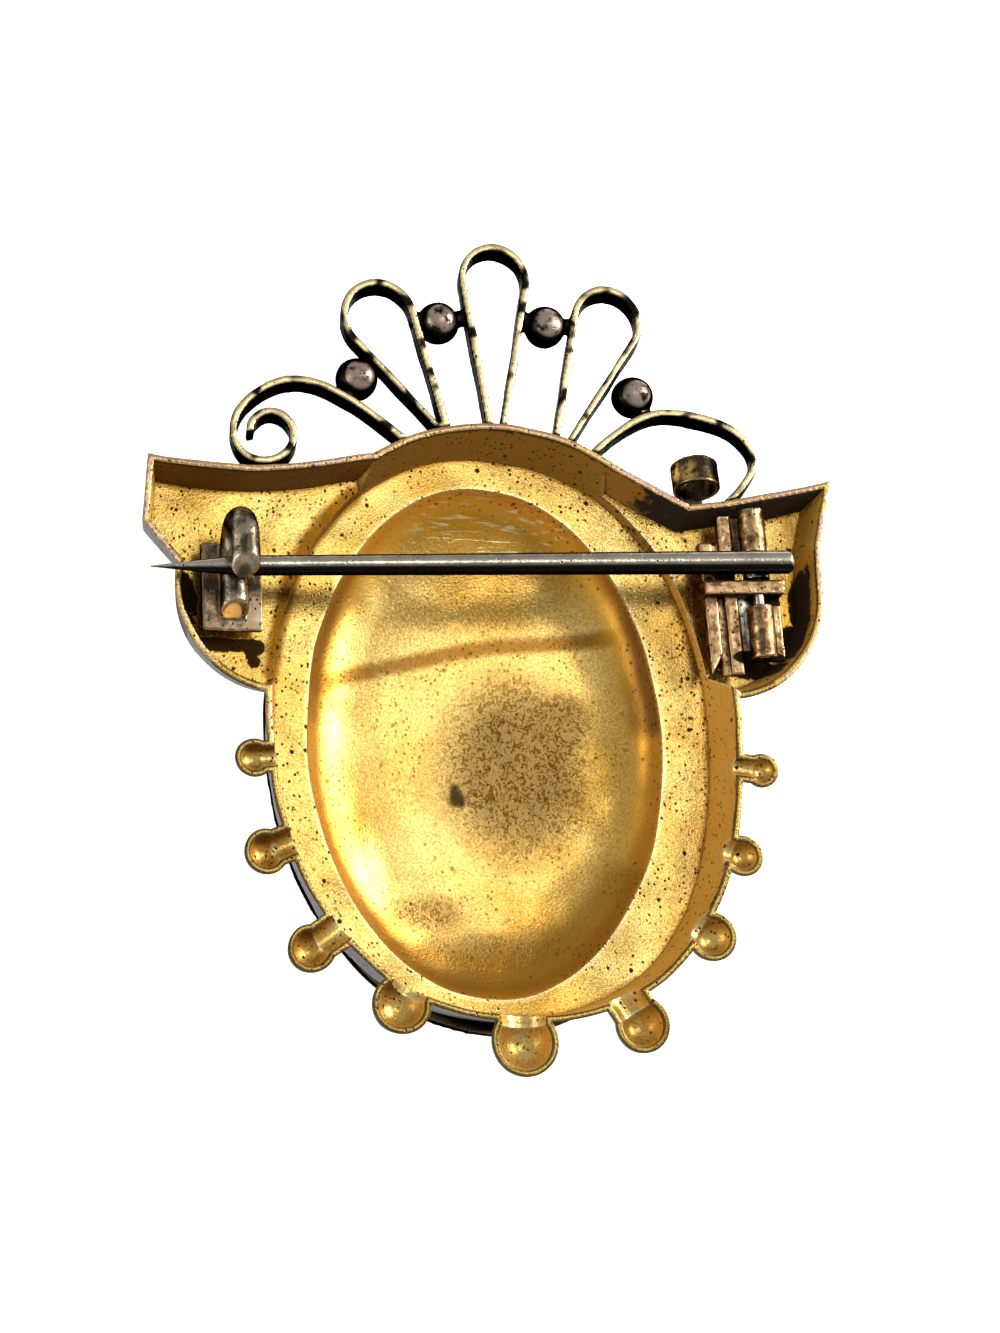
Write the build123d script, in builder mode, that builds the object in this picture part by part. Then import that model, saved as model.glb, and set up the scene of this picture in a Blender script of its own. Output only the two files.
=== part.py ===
"""Victorian cameo brooch, lying face down with its open back up.

A stamped sheet-brass shell carries a crest of upright ribbon loops and scrolls,
a C-catch, a three-knuckle hinge and a pin. The oval cameo sits in a bezel on
the front, which is the side that the brooch rests on.
"""

from math import asin, atan2, copysign, cos, hypot, radians, sin, sqrt, tan
import os

from build123d import *

os.makedirs("parts", exist_ok=True)

# General fits
sheet = 0.4             # thickness of the stamped sheet
fit_gap = 0.05          # gap between pieces that seat on each other
running_gap = 0.06      # radial play of the hinge

# Oval pan of the shell, measured at its rim
oval_half_width = 15.4
oval_half_height = 19.1
oval_squareness = 2.15  # exponent of the oval, 2 for an ellipse
corner_squareness = 2.4 # the same for the fuller quarter at the lower right
pan_depth = 3.3         # rim down to the flat ring
pan_draft = 1.2         # how far the wall leans in from rim to ring
ring_offset_y = -0.25   # the ring lies a little low in the pan
cup_depth = 2.9         # flat ring down to the floor of the cup
cup_half_width = 11.6
cup_half_height = 16.45
cup_offset_x = -0.4     # the cup was struck slightly off centre
cup_offset_y = -0.65
section_points = 24     # points round a section of the pan

# Wings left and right of the oval
wing_depth = 2.6
wing_draft = 0.6
wing_reach_left = 22.85
wing_reach_right = 22.4
wing_rise = 16.6        # height of the right upper corner over the oval's centre

# Half-bead lobes round the lower rim
lobe_diameter = 4.35    # the bottom lobe, the largest
lobe_neck_share = 0.84  # neck towards the pan, as a share of its lobe

# Cameo and bezel on the front
relief_height = 0.75
petal_height = 0.45     # outer petals, lower than the leaves and the heart
cameo_thickness = 2.1
cameo_half_width = 11.3
cameo_half_height = 15.3
cameo_bevel = 0.5       # narrowing of the plaque towards its front
flower_radius = 4.7
outer_petals = 8
inner_petals = 5
leaf_length = 5.6
leaf_width = 2.6
leaf_belly_share = 0.45 # where a leaf is widest, from its root
bezel_wall = 0.7
bezel_flare = 1.6       # how much wider the bezel grows towards the collar
bezel_lip = 0.2         # how far the bezel stands over the plaque's ground
cup_clearance = 0.25    # cup to the inside of the bezel
collar_height = 1.15
collar_side_margin = -0.1
collar_end_margin = 1.0 # collar beyond the pan's own bottom, at top and bottom

# Crest of ribbon bent on edge
ribbon_thickness = 0.5
ribbon_depth = 2.0
edge_points = 4         # points of an edge for each point of the centre line
ribbon_set_back = 0.05  # ribbon edges below the rim
ribbon_lean = 12.0      # degrees that the ribbons lean to the right as they go deeper
crest_height = 31.2     # top of the centre loop over the oval's centre
crest_reach = 17.2      # outer side of the right scroll, at its centre line
loop_radius = 2.1       # centre line of the round head of a loop
bead_diameter = 2.7
bead_sink = 0.9         # bead centres below the rim
collar_diameter = 1.1   # solder collar between a bead and a ribbon
collar_length = 0.5

# Tube bail outside the right wing
bail_diameter = 3.05
bail_length = 1.8
bail_tilt = 12.0        # degrees that the tube's lower end rises
bail_wall = 0.3
bail_inset = 3.7        # tube's axis from the outer side of the right scroll
bail_stand = 2.2        # middle of the tube over the corner of the wing's edge
bail_sink = 1.2         # axis of the tube below the rim
bail_foot_width = 1.5
bail_foot_height = 0.7

# Pin
pin_height = 1.1        # axis of the stem over the rim
pin_diameter = 1.5      # at the hinge
pin_catch_diameter = 1.25
pin_tip_diameter = 0.1
pin_point_length = 5.0
pin_point_share = 0.92  # where the point begins, against the stem at the catch
pin_full_length = 3.9   # full thickness from the hinge axis
pin_slant = 3.1         # degrees, the stem points down to the left
pin_tip_inset = 0.15    # tip to the left wing's outer end
pin_tail = 1.95         # stub beyond the hinge axis
pin_end_round = 0.2

# Hinge, with its own knuckle of the pin between two fixed ones
knuckle_diameter = 1.7
knuckle_overlap = 0.25  # how deep the stem sinks into its own knuckle
knuckle_seat = 0.2      # how deep the fixed knuckles sink into their plate
knuckle_side_gap = 0.08
rivet_diameter = 0.75
hinge_inset = 5.45      # hinge axis from the right wing's outer end
hinge_y = 10.5          # middle of the pin's own knuckle
pin_knuckle_length = 1.65
upper_knuckle_length = 2.9
lower_knuckle_length = 3.4
hinge_sheet = 0.4
hinge_base_reach = 3.5  # plate's left edge from the hinge axis
hinge_base_tail = 1.68  # plate's right edge from the hinge axis
hinge_fold_width = 0.85
hinge_fold_gap = 0.5
hinge_fold_height = 0.35
hinge_short_fold = 0.9  # how far the outer fold runs beside the upper knuckle
hinge_plate_extra = 0.9 # folds beyond the lower knuckle
hinge_notch = 1.3       # corner cut off the lower end of the outer fold
hinge_wall = 0.9        # end wall between the pin's knuckle and the lower one
hinge_wall_height = 1.2
hinge_wall_gap = 0.75   # end wall to the lower knuckle
hinge_wall_shift = -0.2 # end wall's left end from the plate's left edge

# C-catch
catch_wire = 1.75
catch_gap = 0.08        # pin to either arm
catch_inset = 5.8       # wire from the left wing's outer end
catch_near_arm = 2.65   # straight length of the arm over the pin
catch_deep_arm = 4.2
catch_tip_round = 0.5   # on the near arm's end
catch_cut = 32.0        # degrees that the deep arm's cut end leans back
catch_back = 1.2        # from the pin's axis to where the bend begins
catch_wire_seat = 0.3   # how deep the wire sinks into its plate
catch_plate_width = 3.8
catch_plate_length = 5.5
catch_plate_thickness = 0.5
catch_plate_shift = -0.75
catch_foot_width = 2.6
catch_foot_length = 4.0

# Heights over the surface that the relief rests on
plaque_front = relief_height
plaque_back = plaque_front + cameo_thickness
cup_floor = plaque_back + fit_gap + sheet
ring_level = cup_floor + cup_depth
rim_level = ring_level + pan_depth
wing_level = rim_level - wing_depth
ring_front = ring_level - sheet
pin_level = rim_level + pin_height
ribbon_level = rim_level - ribbon_set_back
knuckle_level = pin_level - (pin_diameter + knuckle_diameter) / 2 + knuckle_overlap
hinge_plate_top = knuckle_level - knuckle_diameter / 2 + knuckle_seat
catch_bend = (pin_catch_diameter + catch_wire) / 2 + catch_gap
catch_plate_top = pin_level - catch_bend - catch_wire / 2 + catch_wire_seat

# Lobes: place as shares of the oval's half width and half height,
# diameter as a share of the bottom lobe's
LOBES = [
    # x_share, y_share, diameter_share
    (-1.047, -0.162, 0.55),
    (-1.006, -0.462, 0.65),
    (-0.835, -0.775, 0.69),
    (-0.478, -0.945, 0.86),
    (0.027, -1.060, 1.00),
    (0.518, -1.000, 0.81),
    (0.828, -0.707, 0.72),
    (0.975, -0.435, 0.61),
    (1.078, -0.146, 0.51),
]

# Wing outlines, from the arch round the outer end and back to the oval. x as a
# share of the wing's reach, y as a share of the wing's rise
LEFT_WING = {
    "arch": (0.330, 1.015),
    "top_start": (0.500, 0.968),
    "top_dip": (0.760, 0.937),
    "upper_corner": (0.980, 0.961),
    "lower_corner": (1.000, 0.699),
    "shoulder": (0.904, 0.551),
    "belly": (0.855, 0.222),
    "joint": (0.652, 0.062),
    "inside": (0.300, 0.400),
}
RIGHT_WING = {
    "arch": (0.300, 1.048),
    "top_start": (0.565, 0.867),
    "top_dip": (0.770, 0.922),
    "upper_corner": (1.000, 1.000),
    "lower_corner": (0.958, 0.735),
    "shoulder": (0.955, 0.554),
    "belly": (0.895, 0.285),
    "joint": (0.690, 0.110),
    "inside": (0.300, 0.400),
}

# Cup sections from the ring down: depth, width and height as shares
CUP_SECTIONS = [
    # depth_share, width_share, height_share
    (0.00, 1.000, 1.000),
    (0.25, 0.993, 0.990),
    (0.50, 0.958, 0.950),
    (0.70, 0.882, 0.870),
    (0.84, 0.765, 0.750),
    (0.93, 0.610, 0.595),
    (0.98, 0.420, 0.410),
    (1.00, 0.260, 0.250),
]

# Crest loops: round heads and feet. x as a share of the crest's reach, y as a
# share of the way from the oval's top to the crest's, radius as a share of
# the loop radius
LOOPS = [
    # head_x, head_y, radius_share, left_foot_x, left_foot_y, right_foot_x, right_foot_y
    (-0.433, 0.556, 1.07, -0.221, -0.031, -0.184, -0.057),
    (0.013, 0.807, 1.00, -0.017, -0.070, 0.021, -0.070),
    (0.445, 0.608, 1.02, 0.226, -0.083, 0.262, -0.109),
]

# Scroll centre lines from the foot outwards. x as a share of the crest's reach,
# y as a share of the way from the wings' rise to the crest's top
LEFT_SCROLL = [
    (-0.330, 0.060),
    (-0.605, 0.282),
    (-0.762, 0.323),
    (-0.910, 0.246),
    (-0.988, 0.092),
    (-0.952, -0.019),
    (-0.878, -0.047),
    (-0.785, 0.008),
    (-0.768, 0.102),
    (-0.843, 0.175),
    (-0.916, 0.128),
    (-0.926, 0.077),
]
RIGHT_SCROLL = [
    (0.330, 0.017),
    (0.498, 0.194),
    (0.634, 0.267),
    (0.797, 0.256),
    (0.948, 0.182),
    (1.000, 0.079),
    (0.974, -0.007),
    (0.875, -0.137),
]

# Beads between the ribbons, in the shares of the ribbons beside them, each
# with the ways in which its solder collars point, in degrees
FAN_BEADS = [
    (-0.196, 0.559, (15, 175)),
    (0.217, 0.575, (5, 165)),
]
LEFT_BEAD = [(-0.512, 0.356, (240,))]
RIGHT_BEAD = [(0.548, 0.350, (300,))]

# Relief of the cameo: two tiers of petals round a heart, as shares of the
# flower's radius, each with its height
FLOWER = [
    # petals, first_angle, reach_share, length_share, width_share, heart_share, height
    (outer_petals, 0, 0.66, 0.34, 0.25, 0.50, petal_height),
    (inner_petals, 18, 0.32, 0.24, 0.20, 0.20, relief_height),
]

# Relief of the cameo: leaves by the place of their root, as shares of the
# plaque's half width and half height, and the way they point, in degrees
LEAVES = [
    # x_share, y_share, angle
    (0.00, 0.36, 90),
    (-0.27, 0.25, 128),
    (0.27, 0.25, 52),
    (0.00, -0.36, 270),
    (-0.27, -0.25, 232),
    (0.27, -0.25, 308),
]

# The place of the shell's oval centre, so that the whole brooch is centred
lowest_lobe = max(-y_share for x_share, y_share, diameter_share in LOBES)
lobe_bottom = oval_half_height * lowest_lobe + lobe_diameter / 2
highest_head = max(oval_half_height + (crest_height - oval_half_height) * head_y
                   + loop_radius * radius_share
                   for head_x, head_y, radius_share, *feet in LOOPS)
crest_top = highest_head + ribbon_thickness / 2
centre_x = (wing_reach_left - wing_reach_right) / 2
centre_y = (lobe_bottom - crest_top) / 2


# Places that follow the ends of the wings and the right scroll
hinge_x = wing_reach_right - hinge_inset
catch_x = catch_inset - wing_reach_left
bail_x = crest_reach - bail_inset
bail_y = wing_rise * RIGHT_WING["top_start"][1] + bail_stand


def crest_point(x_share, y_share, base):
    """A point of the crest from its shares, over the height that carries it."""
    return (crest_reach * x_share, base + (crest_height - base) * y_share)


def level(height):
    """Horizontal plane at a height, with its origin on the oval's centre."""
    return Plane(origin=(centre_x, centre_y, height))


def place(x, y, height):
    """A point given from the oval's centre, in the brooch's own frame."""
    return (centre_x + x, centre_y + y, height)


def oval_sketch(height, half_width, half_height, offset_x=0.0, offset_y=0.0):
    """One elliptical section of the shell, bezel or cameo."""
    plane = Plane(origin=place(offset_x, offset_y, height))
    with BuildSketch(plane) as section:
        Ellipse(half_width, half_height)
    return section.sketch


def inset_corners(corners, distance):
    """Corners of a closed outline moved inwards, square to both their sides."""
    count = len(corners)
    turn = 0.0
    for index, (x, y) in enumerate(corners):
        next_x, next_y = corners[(index + 1) % count]
        turn += x * next_y - next_x * y
    side = 1 if turn > 0 else -1
    moved = []
    for index, (x, y) in enumerate(corners):
        before = corners[index - 1]
        after = corners[(index + 1) % count]
        length_in = hypot(x - before[0], y - before[1])
        length_out = hypot(after[0] - x, after[1] - y)
        in_x, in_y = side * (before[1] - y) / length_in, side * (x - before[0]) / length_in
        out_x, out_y = side * (y - after[1]) / length_out, side * (after[0] - x) / length_out
        scale = distance / (1 + in_x * out_x + in_y * out_y)
        moved.append((x + scale * (in_x + out_x), y + scale * (in_y + out_y)))
    return moved


def wing_sketch(height, table, reach, inset):
    """Outline of a wing, drawn inwards by the inset."""
    corners = [(reach * x, wing_rise * y) for x, y in table.values()]
    point = dict(zip(table, inset_corners(corners, inset)))
    with BuildSketch(level(height)) as outline:
        with BuildLine():
            Line(point["arch"], point["top_start"])
            ThreePointArc(point["top_start"], point["top_dip"], point["upper_corner"])
            Line(point["upper_corner"], point["lower_corner"])
            Line(point["lower_corner"], point["shoulder"])
            ThreePointArc(point["shoulder"], point["belly"], point["joint"])
            Line(point["joint"], point["inside"])
            Line(point["inside"], point["arch"])
        make_face()
    return outline.sketch


def wing_form(table, reach, inset, depth):
    """Drafted block of a wing, hanging down from the rim plane."""
    lean = wing_draft * depth / wing_depth
    with BuildPart() as form:
        add(wing_sketch(rim_level, table, reach, inset))
        add(wing_sketch(rim_level - depth, table, reach, inset + lean))
        loft(ruled=True)
    return form.part


def pan_sketch(height, half_width, half_height, offset_y=0.0):
    """Section of the pan: a slightly squared oval, through points of its formula."""
    points = []
    for step in range(section_points):
        turn = radians(360 / section_points * step)
        lower_right = cos(turn) > 0 and sin(turn) < 0
        power = 2 / (corner_squareness if lower_right else oval_squareness)
        x = half_width * copysign(abs(cos(turn)) ** power, cos(turn))
        y = half_height * copysign(abs(sin(turn)) ** power, sin(turn))
        points.append((x, y + offset_y))
    with BuildSketch(level(height)) as section:
        with BuildLine():
            Spline(*points, periodic=True)
        make_face()
    return section.sketch


def pan_form(inset, bottom):
    """Oval block of the pan, wide at the rim and narrower at its bottom."""
    share = (rim_level - bottom) / pan_depth
    narrow = inset + (pan_draft - sheet) * share
    with BuildPart() as form:
        add(pan_sketch(rim_level, oval_half_width - inset, oval_half_height - inset))
        add(pan_sketch(bottom, oval_half_width - narrow, oval_half_height - narrow,
                       ring_offset_y * share))
        loft(ruled=True)
    return form.part


def cup_form(grow, bottom):
    """Rounded block of the cup, from the ring plane down to its floor."""
    with BuildPart() as form:
        for depth_share, width_share, height_share in CUP_SECTIONS:
            height = ring_level + (bottom - ring_level) * depth_share
            add(oval_sketch(height, cup_half_width * width_share + grow,
                            cup_half_height * height_share + grow, cup_offset_x, cup_offset_y))
        loft(ruled=True)
    return form.part


def lobe_spots():
    """Place, radius and outward direction of every lobe."""
    for x_share, y_share, diameter_share in LOBES:
        x = oval_half_width * x_share
        y = oval_half_height * y_share
        normal_x = x / oval_half_width ** 2
        normal_y = y / oval_half_height ** 2
        length = hypot(normal_x, normal_y)
        yield x, y, lobe_diameter * diameter_share / 2, normal_x / length, normal_y / length


def lobe_forms(inset):
    """All half-bead lobes with their necks, as full spheres and cylinders."""
    with BuildPart() as forms:
        for x, y, radius, out_x, out_y in lobe_spots():
            with Locations(place(x, y, rim_level)):
                Sphere(radius - inset)
            neck = Plane(origin=place(x, y, rim_level), z_dir=(-out_x, -out_y, 0))
            with BuildSketch(neck):
                Circle(radius * lobe_neck_share - inset)
            extrude(amount=radius + pan_draft)
    return forms.part


# Stamped shell: pan, cup, wings and lobes struck from one sheet
with BuildPart() as shell:
    add(pan_form(0, ring_front))
    add(wing_form(LEFT_WING, -wing_reach_left, 0, wing_depth + sheet))
    add(wing_form(RIGHT_WING, wing_reach_right, 0, wing_depth + sheet))
    add(lobe_forms(0))
    add(cup_form(sheet, cup_floor - sheet))
    add(pan_form(sheet, ring_level), mode=Mode.SUBTRACT)
    add(wing_form(LEFT_WING, -wing_reach_left, sheet, wing_depth), mode=Mode.SUBTRACT)
    add(wing_form(RIGHT_WING, wing_reach_right, sheet, wing_depth), mode=Mode.SUBTRACT)
    add(lobe_forms(sheet), mode=Mode.SUBTRACT)
    add(cup_form(0, cup_floor), mode=Mode.SUBTRACT)
    split(bisect_by=level(rim_level), keep=Keep.BOTTOM)
shell.part.label = "shell"
export_step(shell.part, "parts/shell.step")


# Bezel: a collar under the flat ring and a cone that holds the cameo's edge
bezel_top = ring_front - fit_gap
collar_bottom = bezel_top - collar_height
bezel_front = plaque_front - bezel_lip
ring_lean = (pan_draft - sheet) * (rim_level - ring_front) / pan_depth
collar_half_width = oval_half_width - ring_lean + collar_side_margin
collar_half_height = oval_half_height - ring_lean + collar_end_margin
plaque_slope = cameo_bevel / cameo_thickness


def cameo_sketch(height, grow):
    """Section of the cameo's cone at a height, grown by a margin."""
    narrow = plaque_slope * (plaque_back - height)
    return oval_sketch(height, cameo_half_width - narrow + grow,
                       cameo_half_height - narrow + grow, cup_offset_x, cup_offset_y)


with BuildPart() as bezel:
    add(oval_sketch(bezel_top, collar_half_width, collar_half_height))
    extrude(amount=-collar_height)
    cone_grow = bezel_wall + bezel_flare
    add(cameo_sketch(bezel_front, bezel_wall))
    add(cameo_sketch(collar_bottom, cone_grow))
    loft(ruled=True)
    cup_room = sheet + cup_clearance
    add(oval_sketch(bezel_top, cup_half_width + cup_room, cup_half_height + cup_room,
                    cup_offset_x, cup_offset_y))
    add(cameo_sketch(plaque_back, fit_gap))
    add(cameo_sketch(bezel_front, fit_gap))
    loft(ruled=True, mode=Mode.SUBTRACT)
bezel.part.label = "bezel"
export_step(bezel.part, "parts/bezel.step")


def leaf_face(plane, length, width):
    """Pointed leaf from its root at the plane's origin, along the plane's x."""
    with BuildSketch(plane) as leaf:
        with BuildLine():
            ThreePointArc((0, 0), (length * leaf_belly_share, width / 2), (length, 0))
            ThreePointArc((length, 0), (length * leaf_belly_share, -width / 2), (0, 0))
        make_face()
    return leaf.sketch


# Cameo: an oval plaque with a raised flower between two sprays of leaves
cameo_centre = place(cup_offset_x, cup_offset_y, plaque_front)
with BuildPart() as cameo:
    add(cameo_sketch(plaque_back, 0))
    add(cameo_sketch(plaque_front, 0))
    loft(ruled=True)
    for petals, first_angle, reach_share, length_share, width_share, heart_share, height in FLOWER:
        with BuildSketch(Plane(origin=cameo_centre)):
            with PolarLocations(flower_radius * reach_share, petals, start_angle=first_angle):
                Ellipse(flower_radius * length_share, flower_radius * width_share)
            Circle(flower_radius * heart_share)
        extrude(amount=-height)
    for x_share, y_share, angle in LEAVES:
        root = place(cup_offset_x + cameo_half_width * x_share,
                     cup_offset_y + cameo_half_height * y_share, plaque_front)
        way = (cos(radians(angle)), sin(radians(angle)), 0)
        add(leaf_face(Plane(origin=root, x_dir=way), leaf_length, leaf_width))
        extrude(amount=-relief_height)
cameo.part.label = "cameo"
export_step(cameo.part, "parts/cameo.step")


def shell_outside():
    """The shell's outer form with the fitting gap round it."""
    with BuildPart() as form:
        add(pan_form(-fit_gap, ring_front))
        add(wing_form(LEFT_WING, -wing_reach_left, -fit_gap, wing_depth + sheet))
        add(wing_form(RIGHT_WING, wing_reach_right, -fit_gap, wing_depth + sheet))
    return form.part


def tangent_point(foot, centre, radius, side):
    """Where a straight leg from a foot meets the round head on one side."""
    reach = hypot(centre[0] - foot[0], centre[1] - foot[1])
    way = atan2(centre[1] - foot[1], centre[0] - foot[0]) + side * asin(radius / reach)
    leg = sqrt(reach ** 2 - radius ** 2)
    return (foot[0] + leg * cos(way), foot[1] + leg * sin(way))


def loop_outline(loop, side_step):
    """Corners of a teardrop whose edge lies one side step off the centre line."""
    head_x, head_y, radius_share, left_x, left_y, right_x, right_y = loop
    centre = crest_point(head_x, head_y, oval_half_height)
    radius = loop_radius * radius_share + side_step
    foot_x, foot_y = crest_point(left_x, left_y, oval_half_height)
    left_foot = (foot_x - side_step, foot_y)
    foot_x, foot_y = crest_point(right_x, right_y, oval_half_height)
    right_foot = (foot_x + side_step, foot_y)
    left = tangent_point(left_foot, centre, radius, 1)
    right = tangent_point(right_foot, centre, radius, -1)
    down_x = left[0] + right[0] - 2 * centre[0]
    down_y = left[1] + right[1] - 2 * centre[1]
    scale = radius / hypot(down_x, down_y)
    top = (centre[0] - scale * down_x, centre[1] - scale * down_y)
    return left_foot, left, top, right, right_foot


def loop_face(loop):
    """Ribbon bent to a teardrop loop, seen on its edge."""
    with BuildSketch(level(ribbon_level)) as face:
        edges = ((ribbon_thickness / 2, Mode.ADD), (-ribbon_thickness / 2, Mode.SUBTRACT))
        for side_step, mode in edges:
            left_foot, left, top, right, right_foot = loop_outline(loop, side_step)
            with BuildLine():
                Line(left_foot, left)
                ThreePointArc(left, top, right)
                Line(right, right_foot)
                Line(right_foot, left_foot)
            make_face(mode=mode)
    return face.sketch


def ribbon_face(centre_line):
    """Outline of a ribbon seen on its edge, along a smooth centre line."""
    points = [crest_point(x_share, y_share, wing_rise) for x_share, y_share in centre_line]
    path = Spline(*points)
    count = edge_points * len(points)
    sides = ([], [])
    for step in range(count + 1):
        spot = path.position_at(step / count)
        way = path.tangent_at(step / count)
        for side, sign in zip(sides, (1, -1)):
            shift = sign * ribbon_thickness / 2
            side.append((spot.X - shift * way.Y, spot.Y + shift * way.X))
    left, right = sides
    with BuildSketch(level(ribbon_level)) as face:
        with BuildLine():
            Spline(*left)
            Line(left[-1], right[-1])
            Spline(*right)
            Line(right[0], left[0])
        make_face()
    return face.sketch


lean = radians(ribbon_lean)
lean_way = (sin(lean), 0, -cos(lean))
lean_length = ribbon_depth / cos(lean)


def bead_forms(beads, base):
    """Crest beads with the solder collars that join them to the ribbons."""
    with BuildPart() as forms:
        for x_share, y_share, collar_angles in beads:
            centre = place(*crest_point(x_share, y_share, base), rim_level - bead_sink)
            with Locations(centre):
                Sphere(bead_diameter / 2, rotation=(0, 0, 90))
            for angle in collar_angles:
                way = (cos(radians(angle)), sin(radians(angle)), 0)
                with BuildSketch(Plane(origin=centre, z_dir=way)):
                    Circle(collar_diameter / 2)
                extrude(amount=bead_diameter / 2 + collar_length)
    return forms.part


# Crest fan: three teardrop loops, with a bead soldered into each gap
with BuildPart() as crest_fan:
    for loop in LOOPS:
        add(loop_face(loop))
        extrude(amount=lean_length, dir=lean_way)
    add(bead_forms(FAN_BEADS, oval_half_height))
    add(shell_outside(), mode=Mode.SUBTRACT)
crest_fan.part.label = "crest_fan"
export_step(crest_fan.part, "parts/crest_fan.step")


def scroll_part(centre_line, beads):
    """One scroll of the crest with its bead, cut to the shell's outside."""
    with BuildPart() as scroll:
        add(ribbon_face(centre_line))
        extrude(amount=lean_length, dir=lean_way)
        add(bead_forms(beads, wing_rise))
        add(shell_outside(), mode=Mode.SUBTRACT)
    return scroll.part


with BuildPart() as left_scroll:
    add(scroll_part(LEFT_SCROLL, LEFT_BEAD))
left_scroll.part.label = "left_scroll"
export_step(left_scroll.part, "parts/left_scroll.step")

with BuildPart() as right_scroll:
    add(scroll_part(RIGHT_SCROLL, RIGHT_BEAD))
right_scroll.part.label = "right_scroll"
export_step(right_scroll.part, "parts/right_scroll.step")


# Tube bail, with the foot that solders it to the outside of the right wing
bail_level = rim_level - bail_sink
bail_way = (0, -cos(radians(bail_tilt)), sin(radians(bail_tilt)))
bail_upper_end = Plane(origin=place(bail_x, bail_y - bail_length / 2 * bail_way[1],
                                    bail_level - bail_length / 2 * bail_way[2]), z_dir=bail_way)
with BuildPart() as bail:
    with BuildSketch(bail_upper_end):
        Circle(bail_diameter / 2)
    extrude(amount=bail_length)
    with BuildSketch(level(bail_level - bail_diameter / 2)):
        with Locations((bail_x, bail_y - bail_length)):
            Rectangle(bail_foot_width, 2 * bail_length)
    extrude(amount=bail_foot_height)
    with BuildSketch(bail_upper_end):
        Circle(bail_diameter / 2 - bail_wall)
    extrude(amount=bail_length, mode=Mode.SUBTRACT)
    add(shell_outside(), mode=Mode.SUBTRACT)
bail.part.label = "bail"
export_step(bail.part, "parts/bail.step")


# Hinge frame: x away from the stem and y along the hinge's axis
slant = radians(pin_slant)
stem_way = (-cos(slant), -sin(slant), 0)
axis_way = (-sin(slant), cos(slant), 0)


def hinge_plane(height):
    """Horizontal plane on the hinge's axis, turned with the pin."""
    return Plane(origin=place(hinge_x, hinge_y, height), x_dir=(cos(slant), sin(slant), 0))


def knuckle_plane(along):
    """Upright plane square to the hinge's axis, a distance along it."""
    middle = place(hinge_x + along * axis_way[0], hinge_y + along * axis_way[1], knuckle_level)
    return Plane(origin=middle, z_dir=axis_way)


def box_on(plane, x_from, x_to, y_from, y_to, height):
    """Box that stands on a plane, between two corners in the plane's own frame."""
    with BuildPart() as block:
        with BuildSketch(plane):
            with Locations(((x_from + x_to) / 2, (y_from + y_to) / 2)):
                Rectangle(x_to - x_from, y_to - y_from)
        extrude(amount=height)
    return block.part


# Hinge: folded plate on two legs, with an end wall and the two fixed knuckles
own_half = pin_knuckle_length / 2
wall_end = -own_half - knuckle_side_gap
wall_start = wall_end - hinge_wall
lower_top = wall_start - hinge_wall_gap
lower_end = lower_top - lower_knuckle_length
plate_end = lower_end - hinge_plate_extra
upper_bottom = own_half + knuckle_side_gap
upper_end = upper_bottom + upper_knuckle_length
plate_left = -hinge_base_reach
leg_left = plate_left + hinge_fold_width
second_fold = leg_left + hinge_fold_gap
bridge_right = second_fold + hinge_fold_width
plate_plane = hinge_plane(hinge_plate_top - hinge_sheet)
fold_end = upper_end - knuckle_seat
short_end = upper_bottom + hinge_short_fold
fold_top = hinge_sheet + hinge_fold_height
knuckle_bore = rivet_diameter + 2 * running_gap
foot_level = wing_level + fit_gap
leg_height = hinge_plate_top - foot_level
with BuildPart() as hinge:
    add(box_on(plate_plane, plate_left, bridge_right, plate_end, short_end, hinge_sheet))
    add(box_on(plate_plane, second_fold, knuckle_diameter / 2, upper_bottom, fold_end,
               hinge_sheet))
    add(box_on(plate_plane, bridge_right, hinge_base_tail, lower_end, wall_end, hinge_sheet))
    add(box_on(plate_plane, plate_left, leg_left, plate_end, short_end, fold_top))
    add(box_on(plate_plane, second_fold, bridge_right, plate_end, fold_end, fold_top))
    add(box_on(plate_plane, plate_left + hinge_wall_shift, hinge_base_tail, wall_start,
               wall_end, hinge_sheet + hinge_wall_height))
    foot_plane = hinge_plane(foot_level)
    add(box_on(foot_plane, leg_left, leg_left + hinge_sheet, plate_end + hinge_notch,
               upper_bottom, leg_height))
    add(box_on(foot_plane, hinge_base_tail - hinge_sheet, hinge_base_tail,
               lower_end + hinge_notch, wall_end, leg_height))
    with BuildSketch(plate_plane):
        with BuildLine():
            Polyline((plate_left, plate_end), (leg_left, plate_end),
                     (leg_left, plate_end + hinge_notch), close=True)
        make_face()
    extrude(amount=fold_top, mode=Mode.SUBTRACT)
    for start, end in ((lower_end, lower_top), (upper_bottom, upper_end)):
        with BuildSketch(knuckle_plane(start)):
            Circle(knuckle_diameter / 2)
        extrude(amount=end - start)
    with BuildSketch(knuckle_plane(lower_end)):
        Circle(knuckle_bore / 2)
    extrude(amount=upper_end - lower_end, mode=Mode.SUBTRACT)
hinge.part.label = "hinge"
export_step(hinge.part, "parts/hinge.step")

# Rivet through the three knuckles
with BuildPart() as hinge_rivet:
    with BuildSketch(knuckle_plane(lower_end)):
        Circle(rivet_diameter / 2)
    extrude(amount=upper_end - lower_end)
hinge_rivet.part.label = "hinge_rivet"
export_step(hinge_rivet.part, "parts/hinge_rivet.step")

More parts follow.
